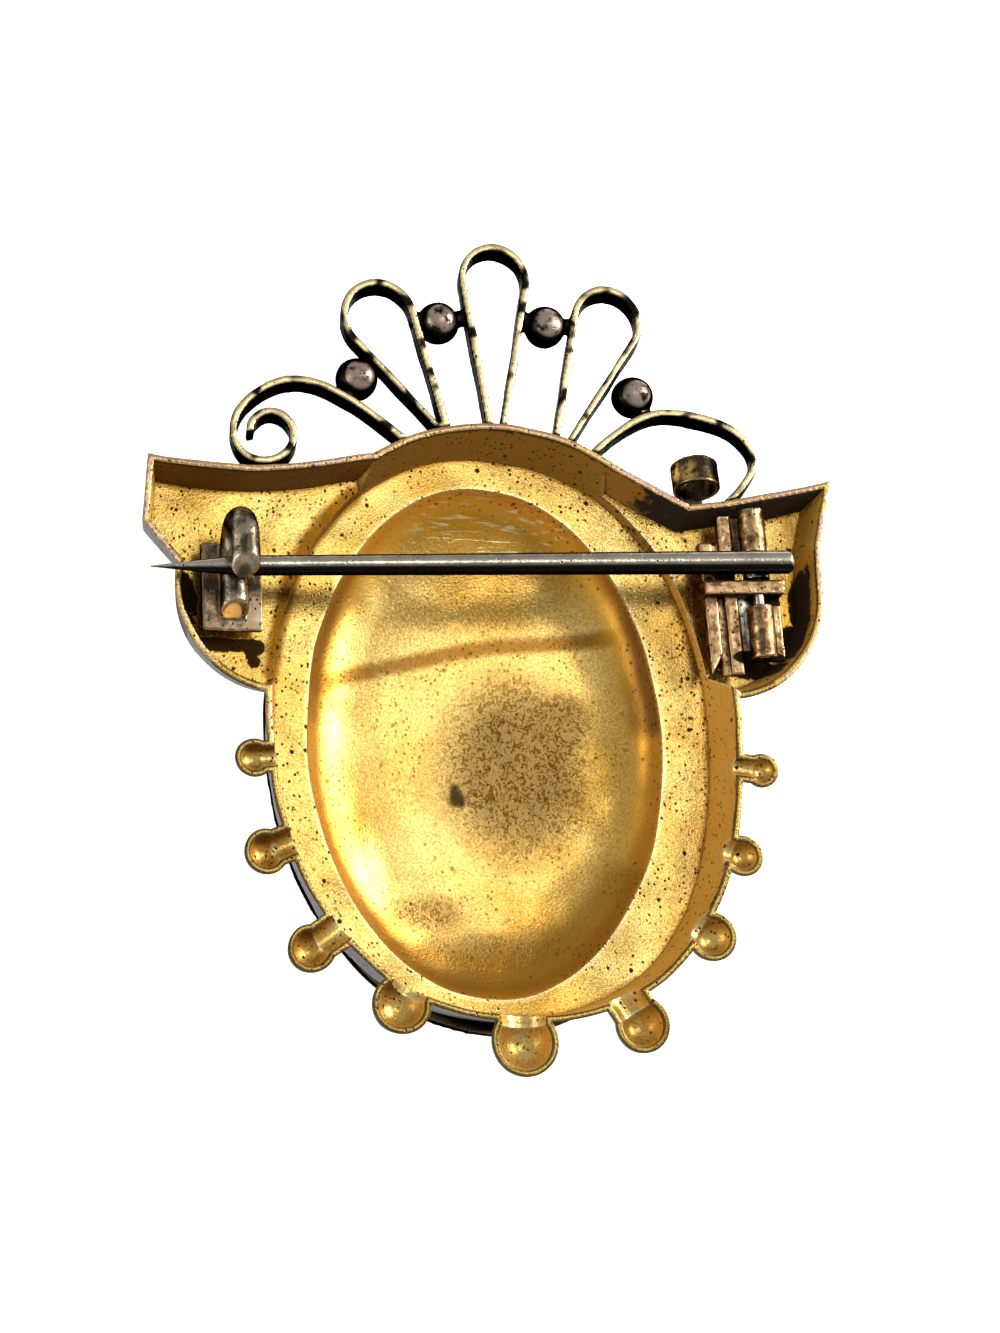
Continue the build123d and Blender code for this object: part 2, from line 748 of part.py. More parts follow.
# Pin: tapered stem with its own knuckle underneath
stem_plane = Plane(origin=place(hinge_x, hinge_y, pin_level), x_dir=stem_way)
catch_along = (hinge_x - catch_x) / cos(slant)
pin_reach = (hinge_x + wing_reach_left - pin_tip_inset) / cos(slant)
stem_radius = pin_diameter / 2
catch_radius = pin_catch_diameter / 2
with BuildPart() as pin:
    with BuildSketch(stem_plane):
        with BuildLine():
            Polyline(
                (pin_reach, 0),
                (pin_reach, pin_tip_diameter / 2),
                (pin_reach - pin_point_length, catch_radius * pin_point_share),
                (catch_along, catch_radius),
                (pin_full_length, stem_radius),
                (pin_end_round - pin_tail, stem_radius),
                (-pin_tail, stem_radius - pin_end_round),
                (-pin_tail, 0),
                close=True,
            )
        make_face()
    revolve(axis=Axis(stem_plane.origin, stem_plane.x_dir))
    with BuildSketch(knuckle_plane(-own_half)):
        Circle(knuckle_diameter / 2)
    extrude(amount=pin_knuckle_length)
    with BuildSketch(knuckle_plane(-own_half)):
        Circle(knuckle_bore / 2)
    extrude(amount=pin_knuckle_length, mode=Mode.SUBTRACT)
pin.part.label = "pin"
export_step(pin.part, "parts/pin.step")

# C-catch: thick wire bent round the pin, on a plate with a foot
catch_y = hinge_y - (hinge_x - catch_x) * tan(slant)
catch_plane = Plane(origin=place(catch_x, catch_y, pin_level), x_dir=(0, 1, 0), z_dir=(1, 0, 0))
catch_centre_y = catch_y + catch_plate_shift
catch_end = catch_back - catch_near_arm


def catch_block(width, length, bottom):
    """Block of the catch's base from a level up to the plate's top."""
    with BuildPart() as block:
        with BuildSketch(level(bottom)):
            with Locations((catch_x, catch_centre_y)):
                Rectangle(width, length)
        extrude(amount=catch_plate_top - bottom)
    return block.part


cut_way = (0, -cos(radians(catch_cut)), sin(radians(catch_cut)))
cut_low = place(catch_x, catch_y + catch_back - catch_deep_arm, pin_level - catch_bend - catch_wire / 2)
cut_plane = Plane(origin=cut_low, z_dir=cut_way)
with BuildPart() as catch:
    with BuildLine(catch_plane) as bend:
        Line((catch_end, catch_bend), (catch_back, catch_bend))
        ThreePointArc((catch_back, catch_bend), (catch_back + catch_bend, 0),
                      (catch_back, -catch_bend))
        Line((catch_back, -catch_bend), (catch_back - catch_deep_arm, -catch_bend))
    wire_start = place(catch_x, catch_y + catch_end, pin_level + catch_bend)
    with BuildSketch(Plane(origin=wire_start, z_dir=(0, 1, 0))):
        Circle(catch_wire / 2)
    sweep(path=bend.wire())
    fillet(catch.faces().filter_by(Axis.Y).sort_by(Axis.Z)[-1].edges(), catch_tip_round)
    split(bisect_by=cut_plane, keep=Keep.BOTTOM)
    add(catch_block(catch_plate_width, catch_plate_length, catch_plate_top - catch_plate_thickness))
    add(catch_block(catch_foot_width, catch_foot_length, foot_level))
catch.part.label = "catch"
export_step(catch.part, "parts/catch.step")
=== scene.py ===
"""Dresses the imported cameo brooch: worn metal, old gilding and a carved shell plaque, in a plain studio.

The brooch lies face down, so the camera looks into its stamped back, as in the photograph.
"""

import logging
from collections.abc import Iterable, Mapping
from dataclasses import dataclass, field
from enum import Enum
from math import cos, pi, radians, sin

import bmesh
import bpy
import numpy as np
from mathutils import Matrix, Vector, noise
from mathutils.bvhtree import BVHTree

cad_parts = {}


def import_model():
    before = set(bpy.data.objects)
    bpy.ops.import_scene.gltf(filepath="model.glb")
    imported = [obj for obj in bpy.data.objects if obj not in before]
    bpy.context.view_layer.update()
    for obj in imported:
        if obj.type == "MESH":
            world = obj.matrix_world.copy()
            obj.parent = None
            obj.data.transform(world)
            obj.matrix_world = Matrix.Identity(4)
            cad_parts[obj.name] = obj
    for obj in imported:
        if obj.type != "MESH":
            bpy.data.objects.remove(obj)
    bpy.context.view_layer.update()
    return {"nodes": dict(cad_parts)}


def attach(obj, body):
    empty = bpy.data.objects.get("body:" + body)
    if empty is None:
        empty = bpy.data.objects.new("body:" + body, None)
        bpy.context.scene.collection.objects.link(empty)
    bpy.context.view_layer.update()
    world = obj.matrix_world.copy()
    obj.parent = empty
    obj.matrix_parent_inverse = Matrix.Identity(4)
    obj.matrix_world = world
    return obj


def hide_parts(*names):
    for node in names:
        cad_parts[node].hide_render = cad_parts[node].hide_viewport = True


LOG = logging.getLogger("cameo_brooch")
MM = 0.001
PER_MM = 1000.0
Feeds = Mapping[str | int, object]


class Slot(Enum):
    """The material slots that the record names."""

    GILT_BRASS = "gilt_brass"
    DARK_BRASS = "dark_brass"
    PALE_BRASS = "pale_brass"
    NICKEL_SILVER = "nickel_silver"
    CARVED_SHELL = "carved_shell"


class Body(Enum):
    """The bodies that move against each other."""

    BROOCH = "brooch"
    PIN = "pin"


class Wear(Enum):
    """The per-vertex measures that a piece's mesh carries for its finish."""

    EDGE = "edge"  # stands out, so it is rubbed
    NOOK = "nook"  # lies back between two faces
    OCCLUSION = "occlusion"  # how closed in it is by its surroundings; the finishes paint shade and bounced light from it
    HOLLOW = "hollow"  # the gilt side of the sheet
    RIM = "rim"  # the sheet's cut edge; on the shell its borders and the lobes' rims go below 0, for painted shade
    STAIN = "stain"
    # painted shade: on the shell's walls that face -y, its groove and the cup's walls, and on the stem's
    # side facing -y; on the catch, a dark crater
    SHADE = "shade"
    STEM_REFLECTION = "painted_reflection"  # painted reflection of the stem: a brown line across the cup
    SCRATCH = "scratch"
    CHIP = "chip"
    ACCENT = "accent"  # a second metal on the same piece
    STEEP = "steep"  # 0 on level faces and 1 on upright ones
    CREASE = "crease"  # 1 where two walls meet in a crease, -1 where they meet in an edge; the gilding paints shade in creases and a highlight on edges
    THICK = "painted_bounce"  # painted bounced light: warm amber on the steep walls and on the cup's wall


# Small tools


def linear(hex_colour: str) -> tuple[float, float, float, float]:
    """Turns an sRGB hex value into a linear colour.

    Args:
        hex_colour: six hex digits, with or without a leading #.

    Returns:
        Linear red, green, blue and an alpha of 1.
    """
    digits = hex_colour.lstrip("#")
    channels = [int(digits[i : i + 2], 16) / 255 for i in (0, 2, 4)]
    red, green, blue = (c / 12.92 if c <= 0.04045 else ((c + 0.055) / 1.055) ** 2.4 for c in channels)
    return (red, green, blue, 1.0)


def add_node(
    tree: bpy.types.NodeTree, kind: str, feeds: Feeds | None = None, **settings: object
) -> bpy.types.Node:
    """Adds a node to a tree, with its settings and whatever feeds its sockets.

    Args:
        tree: the node tree that takes the node.
        kind: the node's Blender type name.
        feeds: for each input, by name or number, a socket to link or a plain value.
        settings: values for the node's own properties.

    Returns:
        The new node.
    """
    node = tree.nodes.new(kind)
    for name, value in settings.items():
        setattr(node, name, value)
    for name, value in (feeds or {}).items():
        if isinstance(value, bpy.types.NodeSocket):
            tree.links.new(value, node.inputs[name])
        else:
            node.inputs[name].default_value = value
    return node


def ease(low: float, high: float, value: np.ndarray) -> np.ndarray:
    """Eases values from 0 at low to 1 at high.

    Args:
        low: the value that gives 0.
        high: the value that gives 1.
        value: the values to ease.

    Returns:
        An array between 0 and 1.
    """
    share = np.clip((value - low) / (high - low), 0.0, 1.0)
    return share * share * (3.0 - 2.0 * share)


def points(mesh: bpy.types.Mesh) -> np.ndarray:
    """Returns the vertices' places as rows of x, y, z."""
    flat = np.empty(len(mesh.vertices) * 3, np.float32)
    mesh.vertices.foreach_get("co", flat)
    return flat.reshape(-1, 3).astype(float)


def normals_of(mesh: bpy.types.Mesh) -> np.ndarray:
    """Returns the vertices' normals as rows of x, y, z."""
    flat = np.empty(len(mesh.vertices) * 3, np.float32)
    mesh.vertex_normals.foreach_get("vector", flat)
    return flat.reshape(-1, 3).astype(float)


def place_vertices(mesh: bpy.types.Mesh, places: np.ndarray) -> None:
    """Moves the vertices to the given places."""
    mesh.vertices.foreach_set("co", places.astype(np.float32).ravel())
    mesh.update()


def store(mesh: bpy.types.Mesh, wear: Wear, values: np.ndarray) -> None:
    """Keeps one value per vertex on the mesh, under the wear's name.

    Args:
        mesh: the mesh that carries the values.
        wear: which measure the values are.
        values: one number per vertex.
    """
    layer = mesh.attributes.get(wear.value) or mesh.attributes.new(wear.value, "FLOAT", "POINT")
    layer.data.foreach_set("value", np.asarray(values, np.float32))


def stored(mesh: bpy.types.Mesh, wear: Wear) -> np.ndarray:
    """Returns the values that the mesh keeps under the wear's name."""
    values = np.empty(len(mesh.vertices), np.float32)
    mesh.attributes[wear.value].data.foreach_get("value", values)
    return values


def spread(mesh: bpy.types.Mesh, values: np.ndarray, steps: int) -> np.ndarray:
    """Evens out values over neighbouring vertices.

    Args:
        mesh: the mesh whose edges say which vertices are neighbours.
        values: one number or row per vertex.
        steps: how many times each value moves towards its neighbours' mean.

    Returns:
        The evened values, in the same shape.
    """
    ends = np.empty(len(mesh.edges) * 2, np.int32)
    mesh.edges.foreach_get("vertices", ends)
    first, second = ends.reshape(-1, 2).T
    size = len(values)
    count = np.maximum(np.bincount(first, minlength=size) + np.bincount(second, minlength=size), 1)
    rows = values.reshape(size, -1).copy()
    for _ in range(steps):
        for column in rows.T:
            total = np.bincount(first, column[second], size) + np.bincount(second, column[first], size)
            column[:] = 0.4 * column + 0.6 * total / count
    return rows.reshape(values.shape)


# Marks on the metal


@dataclass(frozen=True)
class Dent:
    """A layer of unevenness pressed into a surface, in millimetres."""

    spread: float
    depth: float
    seed: float = 0.0

    def samples(self, places: np.ndarray) -> list[Vector]:
        """Returns the point of the noise that belongs to each place."""
        shift = Vector((self.seed, 1.7 * self.seed, -self.seed))
        return [Vector(place) / self.spread + shift for place in places.tolist()]


@dataclass(frozen=True)
class Spot:
    """A soft oval mark, in millimetres, with its strength."""

    x: float
    y: float
    half_width: float
    half_height: float
    strength: float = 1.0
    core: float = 0.35

    def cover(self, places: np.ndarray) -> np.ndarray:
        """Returns how much the spot covers each of the places, from 0 to its strength."""
        far = np.hypot((places[:, 0] - self.x) / self.half_width, (places[:, 1] - self.y) / self.half_height)
        return self.strength * (1.0 - ease(self.core, 1.0, far))


@dataclass(frozen=True)
class Streak:
    """A soft line through a few points, in millimetres."""

    route: tuple[tuple[float, float], ...]
    half_width: float
    strength: float = 1.0

    def cover(self, places: np.ndarray) -> np.ndarray:
        """Finds how much the line covers each place.

        Args:
            places: the vertices, in millimetres.

        Returns:
            0 to the line's strength.
        """
        flat = places[:, :2]
        nearest = np.full(len(flat), np.inf)
        for start, end in zip(self.route, self.route[1:]):
            run = np.subtract(end, start)
            share = np.clip((flat - start) @ run / (run @ run), 0.0, 1.0)
            nearest = np.minimum(nearest, np.linalg.norm(flat - start - share[:, None] * run, axis=1))
        return self.strength * (1.0 - ease(0.4 * self.half_width, self.half_width, nearest))


@dataclass
class Surroundings:
    """All fixed metal round a piece, for finding how closed in each place is, where the finishes paint shade
    and bounced light.
    """

    nodes: Mapping[str, bpy.types.Object]
    moving: tuple[str, ...] = ("pin", "hinge_rivet")
    rays: int = 12
    walls: BVHTree = field(init=False)

    def __post_init__(self) -> None:
        """Gathers the fixed nodes' faces in one search tree, in millimetres."""
        corners: list[Vector] = []
        faces: list[tuple[int, ...]] = []
        for name, node in self.nodes.items():
            if name not in self.moving:
                first = len(corners)
                corners.extend(vertex.co * PER_MM for vertex in node.data.vertices)
                faces.extend(tuple(first + i for i in face.vertices) for face in node.data.polygons)
        self.walls = BVHTree.FromPolygons(corners, faces)

    def occlusion(self, places: np.ndarray, normals: np.ndarray, reach: float) -> np.ndarray:
        """Finds how closed in each place is, by looking round it in fixed directions.

        Args:
            places: the vertices, in millimetres.
            normals: their normals.
            reach: how far to look, in millimetres.

        Returns:
            0 in the open and 1 where metal is close on every side.
        """
        picks = np.random.default_rng(7)
        turn = picks.uniform(0.0, 2.0 * pi, len(places))
        other_way = np.where(np.abs(normals[:, :1]) < 0.7, [[1.0, 0.0, 0.0]], [[0.0, 1.0, 0.0]])
        side = np.cross(normals, other_way)
        side /= np.linalg.norm(side, axis=1)[:, None] + 1e-9
        across = np.cross(normals, side)
        starts = places + 0.2 * normals
        closed = np.zeros(len(places))
        for ray in range(self.rays):
            lift = np.sqrt((ray + 0.5) / self.rays)
            angle = turn + 2.399963 * ray
            flat = np.cos(angle)[:, None] * side + np.sin(angle)[:, None] * across
            ways = lift * flat + np.sqrt(1.0 - lift * lift) * normals
            for index, (start, way) in enumerate(zip(starts.tolist(), map(Vector, ways.tolist()))):
                _, facing, _, distance = self.walls.ray_cast(start, way, reach)
                if distance is not None and facing.dot(way) < 0.0:
                    closed[index] += 1.0 - distance / reach
        return closed / self.rays


# Finishes


@dataclass(frozen=True)
class Finish:
    """A surface that is built as a procedural material."""

    def build(self) -> bpy.types.Material:
        """Builds the material."""
        raise NotImplementedError

    @staticmethod
    def start(name: str) -> tuple[bpy.types.Material, bpy.types.NodeTree, bpy.types.NodeSocket]:
        """Opens a new material.

        Args:
            name: the material's name.

        Returns:
            The material, its tree, and the place on the object in metres.
        """
        paint = bpy.data.materials.new(name)
        paint.use_nodes = True
        tree = paint.node_tree
        return paint, tree, add_node(tree, "ShaderNodeTexCoord").outputs["Object"]

    @staticmethod
    def wear(tree: bpy.types.NodeTree, wear: Wear) -> bpy.types.NodeSocket:
        """Returns the piece's own measure of one kind of wear."""
        return add_node(tree, "ShaderNodeAttribute", attribute_name=wear.value).outputs["Fac"]

    @staticmethod
    def occlusion_share(
        tree: bpy.types.NodeTree,
        place: bpy.types.NodeSocket,
        low: float,
        high: float,
        most: float,
        ragged: float = 0.7,
    ) -> bpy.types.NodeSocket:
        """Turns how closed in each place is into a share for painting shade and bounced amber there, with a
        ragged border.

        Args:
            tree: the material's tree.
            place: the coordinates, in metres.
            low: how closed in a place must be for any.
            high: how closed in it must be for the most.
            most: its cover where it is strongest.
            ragged: how uneven its border is.

        Returns:
            0 to most.
        """
        border = add_node(
            tree, "ShaderNodeTexNoise", {"Vector": place, "Scale": PER_MM / 0.6, "Detail": 4.0}
        )
        closed = add_node(
            tree,
            "ShaderNodeMath",
            {0: border.outputs["Fac"], 1: ragged, 2: Finish.wear(tree, Wear.OCCLUSION)},
            operation="MULTIPLY_ADD",
        )
        share = add_node(
            tree,
            "ShaderNodeMapRange",
            {
                "Value": closed.outputs["Value"],
                "From Min": low + 0.5 * ragged,
                "From Max": high + 0.5 * ragged,
                "To Min": 0.0,
                "To Max": most,
            },
        )
        return share.outputs["Result"]

    @staticmethod
    def coats(
        tree: bpy.types.NodeTree,
        colour: bpy.types.NodeSocket,
        layers: Iterable[tuple[str, bpy.types.NodeSocket]],
    ) -> bpy.types.NodeSocket:
        """Lays thin coats of colour one over another.

        Args:
            tree: the material's tree.
            colour: the metal below.
            layers: each coat's hex colour and how much of it shows, from 0 to 1.

        Returns:
            The colour on top.
        """
        for coat, share in layers:
            mix = add_node(
                tree, "ShaderNodeMix", {"Factor": share, "A": colour, "B": linear(coat)}, data_type="RGBA"
            )
            colour = mix.outputs["Result"]
        return colour

    @staticmethod
    def patches(
        tree: bpy.types.NodeTree,
        place: bpy.types.NodeSocket,
        size: float,
        low: float,
        high: float,
        detail: float = 3.0,
        twist: float = 0.0,
    ) -> bpy.types.NodeSocket:
        """Makes irregular patches of a real size.

        Args:
            tree: the material's tree.
            place: the coordinates, in metres.
            size: a patch's usual width in millimetres.
            low: the noise below which there is none.
            high: the noise above which the patch is full.
            detail: how many finer layers there are.
            twist: how much the patches curl.

        Returns:
            0 to 1.
        """
        cloud = add_node(
            tree,
            "ShaderNodeTexNoise",
            {"Vector": place, "Scale": PER_MM / size, "Detail": detail, "Distortion": twist},
        )
        spread_out = add_node(
            tree, "ShaderNodeMapRange", {"Value": cloud.outputs["Fac"], "From Min": low, "From Max": high}
        )
        return spread_out.outputs["Result"]

    @staticmethod
    def pits(
        tree: bpy.types.NodeTree,
        place: bpy.types.NodeSocket,
        spacing: float,
        radius: float,
        spared: float,
    ) -> bpy.types.NodeSocket:
        """Scatters ragged pits, one in some of the cells of an irregular pattern.

        Args:
            tree: the material's tree.
            place: the coordinates, in metres.
            spacing: the cells' width in millimetres.
            radius: a pit's radius as a share of its cell.
            spared: the share of cells with no pit.

        Returns:
            1 inside a pit and 0 outside.
        """
        ragged = add_node(
            tree, "ShaderNodeTexNoise", {"Vector": place, "Scale": 2.5 * PER_MM / spacing, "Detail": 2.0}
        )
        cells = add_node(
            tree, "ShaderNodeTexVoronoi", {"Vector": place, "Scale": PER_MM / spacing, "Randomness": 1.0}
        )
        chance = add_node(tree, "ShaderNodeSeparateColor", {"Color": cells.outputs["Color"]})
        chosen = add_node(
            tree, "ShaderNodeMath", {0: chance.outputs["Red"], 1: spared}, operation="GREATER_THAN"
        )
        uneven = add_node(
            tree,
            "ShaderNodeMath",
            {0: ragged.outputs["Fac"], 1: 2.0 * radius, 2: cells.outputs["Distance"]},
            operation="MULTIPLY_ADD",
        )
        inside = add_node(
            tree,
            "ShaderNodeMapRange",
            {
                "Value": uneven.outputs["Value"],
                "From Min": 1.7 * radius,
                "From Max": 2.3 * radius,
                "To Min": 1.0,
                "To Max": 0.0,
            },
        )
        pit = add_node(
            tree,
            "ShaderNodeMath",
            {0: inside.outputs["Result"], 1: chosen.outputs["Value"]},
            operation="MULTIPLY",
        )
        return pit.outputs["Value"]

    @staticmethod
    def product(
        tree: bpy.types.NodeTree, first: bpy.types.NodeSocket, second: bpy.types.NodeSocket | float
    ) -> bpy.types.NodeSocket:
        """Returns where both shares hold."""
        both = add_node(tree, "ShaderNodeMath", {0: first, 1: second}, operation="MULTIPLY", use_clamp=True)
        return both.outputs["Value"]

    @staticmethod
    def sum_up(
        tree: bpy.types.NodeTree, base: float, parts: Iterable[tuple[bpy.types.NodeSocket, float]]
    ) -> bpy.types.NodeSocket:
        """Adds up patterns with their weights.

        Args:
            tree: the material's tree.
            base: the plain surface's value.
            parts: each pattern with its weight.

        Returns:
            The sum.
        """
        total: bpy.types.NodeSocket | float = base
        for pattern, weight in parts:
            total = add_node(
                tree, "ShaderNodeMath", {0: pattern, 1: weight, 2: total}, operation="MULTIPLY_ADD"
            ).outputs["Value"]
        return total


@dataclass(frozen=True)
class WornGilding(Finish):
    """Stamped sheet brass, once fire gilt: satin and warm in the hollow, with acid pits and brown tarnish.

    The stamping leaves a soft sheen, so highlights are broad, and the pits break them into grains.
    """

    gilt: str = "#E8C876"
    deep_gilt: str = "#CFA046"
    speckle: str = "#8A6426"
    stain: str = "#77603A"
    # painted reflection of the stem across the cup
    painted_reflection: str = "#7A5018"
    # the stain's curls, and painted shade on walls and in creases
    shade: str = "#6E480F"
    # painted bounced light on steep and closed-in walls
    painted_bounce_amber: str = "#E0A02A"
    # painted highlight along convex edges
    bright: str = "#FBEDB4"
    # near-black of the painted shadow in closed-in places
    painted_shadow: str = "#170F07"
    scratch: str = "#F3E2A2"
    pit: str = "#3A240D"
    chip: str = "#3C2E18"
    cut_edge: str = "#B0907A"
    back_metal: str = "#2A2520"
    grain_size: float = 0.14  # matt grain of the stamped sheet, drawn coarser than it is so that it shows
    pit_spacing: float = 0.34
    large_pit_spacing: float = 0.9
    pit_cluster: float = 3.2
    cloud_size: float = 6.0
    roughness: float = 0.27

    def build(self) -> bpy.types.Material:
        """Builds the finish from the mesh's wear and patterns in millimetres.

        Returns:
            The material.
        """
        paint, tree, place = self.start("worn_gilding")
        shader = tree.nodes["Principled BSDF"]
        wear = {kind: self.wear(tree, kind) for kind in Wear}
        grain = self.patches(tree, place, self.grain_size, 0.3, 0.7, 2.0)
        dark_grain = self.product(tree, self.patches(tree, place, self.grain_size, 0.58, 0.4, 2.0), 0.5)
        curls = self.patches(tree, place, 0.4, 0.5, 0.58, 3.0, 1.8)
        stained = self.product(tree, wear[Wear.STAIN], curls)
        greyed = self.product(tree, wear[Wear.STAIN], 0.8)
        holes = self.pitting(tree, place)
        lines = self.scratches(tree, place)
        warm = self.patches(tree, place, self.cloud_size, 0.35, 0.68, 5.0)
        gilt = add_node(
            tree,
            "ShaderNodeMix",
            {"Factor": warm, "A": linear(self.gilt), "B": linear(self.deep_gilt)},
            data_type="RGBA",
        ).outputs["Result"]
        # painted shadow, near-black, and painted bounced amber, both from how closed in each place is
        painted_shadow = self.occlusion_share(tree, place, 0.45, 0.75, 0.96, 1.3)
        painted_bounce_amber = self.occlusion_share(tree, place, 0.15, 0.55, 0.5)
        # painted light among these coats: bounced amber, a highlight on convex edges, the stem's reflection,
        # shade and near-black shadow
        gilt = self.coats(
            tree,
            gilt,
            (
                (self.speckle, dark_grain),
                (self.stain, greyed),
                (self.shade, stained),
                (self.painted_reflection, wear[Wear.STEM_REFLECTION]),
                (self.painted_bounce_amber, wear[Wear.THICK]),
                (self.painted_bounce_amber, painted_bounce_amber),
                (self.bright, self.product(tree, wear[Wear.CREASE], -0.45)),
                (self.shade, wear[Wear.SHADE]),
                (self.shade, self.product(tree, wear[Wear.CREASE], 0.8)),
                (self.scratch, self.product(tree, wear[Wear.SCRATCH], lines)),
                (self.painted_shadow, painted_shadow),
            ),
        )
        metal = add_node(
            tree,
            "ShaderNodeMix",
            {"Factor": wear[Wear.HOLLOW], "A": linear(self.back_metal), "B": gilt},
            data_type="RGBA",
        ).outputs["Result"]
        bright_rim = self.product(tree, wear[Wear.RIM], self.patches(tree, place, 1.2, 0.25, 0.5))
        # painted shade along the rim's borders and over the lobes' rims
        rim_border_shade = add_node(
            tree, "ShaderNodeMapRange", {"Value": wear[Wear.RIM], "From Min": -0.45, "From Max": -0.8}
        ).outputs["Result"]
        metal = self.coats(
            tree,
            metal,
            (
                (self.cut_edge, bright_rim),
                (self.painted_shadow, self.product(tree, rim_border_shade, 0.8)),
                (self.pit, holes),
                (self.chip, wear[Wear.CHIP]),
            ),
        )
        dull = self.sum_up(
            tree,
            self.roughness,
            ((holes, 0.4), (stained, 0.15), (painted_shadow, 0.4), (greyed, 0.15), (wear[Wear.STEEP], 0.3)),
        )
        scored = self.product(tree, lines, wear[Wear.SCRATCH])
        bumps = self.sum_up(tree, 0.0, ((grain, 0.5), (holes, -1.6), (stained, -0.9), (scored, 0.8)))
        bump = add_node(tree, "ShaderNodeBump", {"Height": bumps, "Strength": 0.5, "Distance": 0.02 * MM})
        tree.links.new(metal, shader.inputs["Base Color"])
        tree.links.new(dull, shader.inputs["Roughness"])
        tree.links.new(bump.outputs["Normal"], shader.inputs["Normal"])
        matt_wall = self.product(tree, wear[Wear.HOLLOW], wear[Wear.STEEP])
        bare = self.sum_up(tree, 0.2, ((wear[Wear.HOLLOW], 0.8), (matt_wall, -0.85)))
        tree.links.new(bare, shader.inputs["Metallic"])
        return paint

    def pitting(self, tree: bpy.types.NodeTree, place: bpy.types.NodeSocket) -> bpy.types.NodeSocket:
        """Scatters acid pits in clusters, with a few larger ones, fewer in the cup than on the flats.

        Args:
            tree: the material's tree.
            place: the coordinates, in metres.

        Returns:
            1 inside a pit and 0 outside.
        """
        height = add_node(tree, "ShaderNodeSeparateXYZ", {"Vector": place}).outputs["Z"]
        flat_share = add_node(
            tree,
            "ShaderNodeMapRange",
            {"Value": height, "From Min": 4.5 * MM, "From Max": 5.8 * MM, "To Min": 0.45, "To Max": 1.0},
        ).outputs["Result"]
        clusters = self.patches(tree, place, self.pit_cluster, 0.35, 0.55, 4.0)
        crowded = self.product(tree, clusters, flat_share)
        small = self.product(tree, self.pits(tree, place, self.pit_spacing, 0.24, 0.35), crowded)
        large = self.product(tree, self.pits(tree, place, self.large_pit_spacing, 0.14, 0.6), flat_share)
        return add_node(tree, "ShaderNodeMath", {0: small, 1: large}, operation="MAXIMUM").outputs["Value"]

    @staticmethod
    def scratches(tree: bpy.types.NodeTree, place: bpy.types.NodeSocket) -> bpy.types.NodeSocket:
        """Draws fine level scratches, about 0.15 mm apart and a few millimetres long.

        Args:
            tree: the material's tree.
            place: the coordinates, in metres.

        Returns:
            1 on a scratch and 0 beside it.
        """
        stretched = add_node(
            tree, "ShaderNodeVectorMath", {0: place, 1: (0.1, 1.0, 1.0)}, operation="MULTIPLY"
        ).outputs["Vector"]
        return Finish.patches(tree, stretched, 0.3, 0.56, 0.66, 2.0, 0.6)


@dataclass(frozen=True)
class PatinatedMetal(Finish):
    """Brass or white metal under a dark skin, rubbed pale on its edges, with fine pits.

    The skin is thin and hard, so the piece stays glossy in the dark and turns matt where it is pitted.
    """

    name: str
    skin: str
    rubbed: str
    nook: str
    accent: str = "#C9B08A"
    cut: str = "#F0E2C2"
    painted_shadow: str = "#120D08"
    skin_most: float = 1.0
    skin_least: float = 0.6
    cloud_size: float = 1.4
    pit_spacing: float = 0.3
    unpitted: float = 0.5
    corrosion: float = 0.8
    edge_glint: str = "#3A3835"  # the skin doesn't turn white at a grazing angle, as bare metal does
    roughness: float = 0.3

    def build(self) -> bpy.types.Material:
        """Builds the finish.

        Returns:
            The material.
        """
        paint, tree, place = self.start(self.name)
        shader = tree.nodes["Principled BSDF"]
        edge = self.wear(tree, Wear.EDGE)
        cloud = self.patches(tree, place, self.cloud_size, 0.4, 0.6, 5.0)
        skin_share = add_node(
            tree, "ShaderNodeMapRange", {"Value": cloud, "To Min": self.skin_most, "To Max": self.skin_least}
        ).outputs["Result"]
        skin = add_node(
            tree, "ShaderNodeMath", {0: skin_share, 1: edge}, operation="SUBTRACT", use_clamp=True
        ).outputs["Value"]
        pits = self.pits(tree, place, self.pit_spacing, 0.2, self.unpitted)
        # painted shadow, near-black, in closed-in places
        painted_shadow = self.occlusion_share(tree, place, 0.2, 0.5, 0.97)
        worn_through = self.patches(tree, place, 0.7, 0.36, 0.52, 4.0)
        base = add_node(tree, "ShaderNodeRGB")
        base.outputs["Color"].default_value = linear(self.rubbed)
        colour = self.coats(
            tree,
            base.outputs["Color"],
            (
                (self.skin, skin),
                (self.accent, self.product(tree, self.wear(tree, Wear.ACCENT), worn_through)),
                (self.nook, self.product(tree, self.wear(tree, Wear.NOOK), 0.8)),
                (self.cut, self.wear(tree, Wear.RIM)),
                # painted shade where a piece marks it, as on the stem's side facing -y
                (self.skin, self.wear(tree, Wear.SHADE)),
                (self.painted_shadow, painted_shadow),
                # the pits take the painted shadow's near-black too
                (self.painted_shadow, pits),
            ),
        )
        grain = self.patches(tree, place, 0.2, 0.3, 0.7, 2.0)
        bumps = self.sum_up(tree, 0.0, ((grain, 0.6), (pits, -1.5), (cloud, self.corrosion)))
        bump = add_node(tree, "ShaderNodeBump", {"Height": bumps, "Strength": 0.6, "Distance": 0.02 * MM})
        dull = self.sum_up(tree, self.roughness, ((pits, 0.4), (painted_shadow, 0.3)))
        tree.links.new(colour, shader.inputs["Base Color"])
        tree.links.new(dull, shader.inputs["Roughness"])
        tree.links.new(bump.outputs["Normal"], shader.inputs["Normal"])
        shader.inputs["Metallic"].default_value = 1.0
        shader.inputs["Specular Tint"].default_value = linear(self.edge_glint)
        return paint


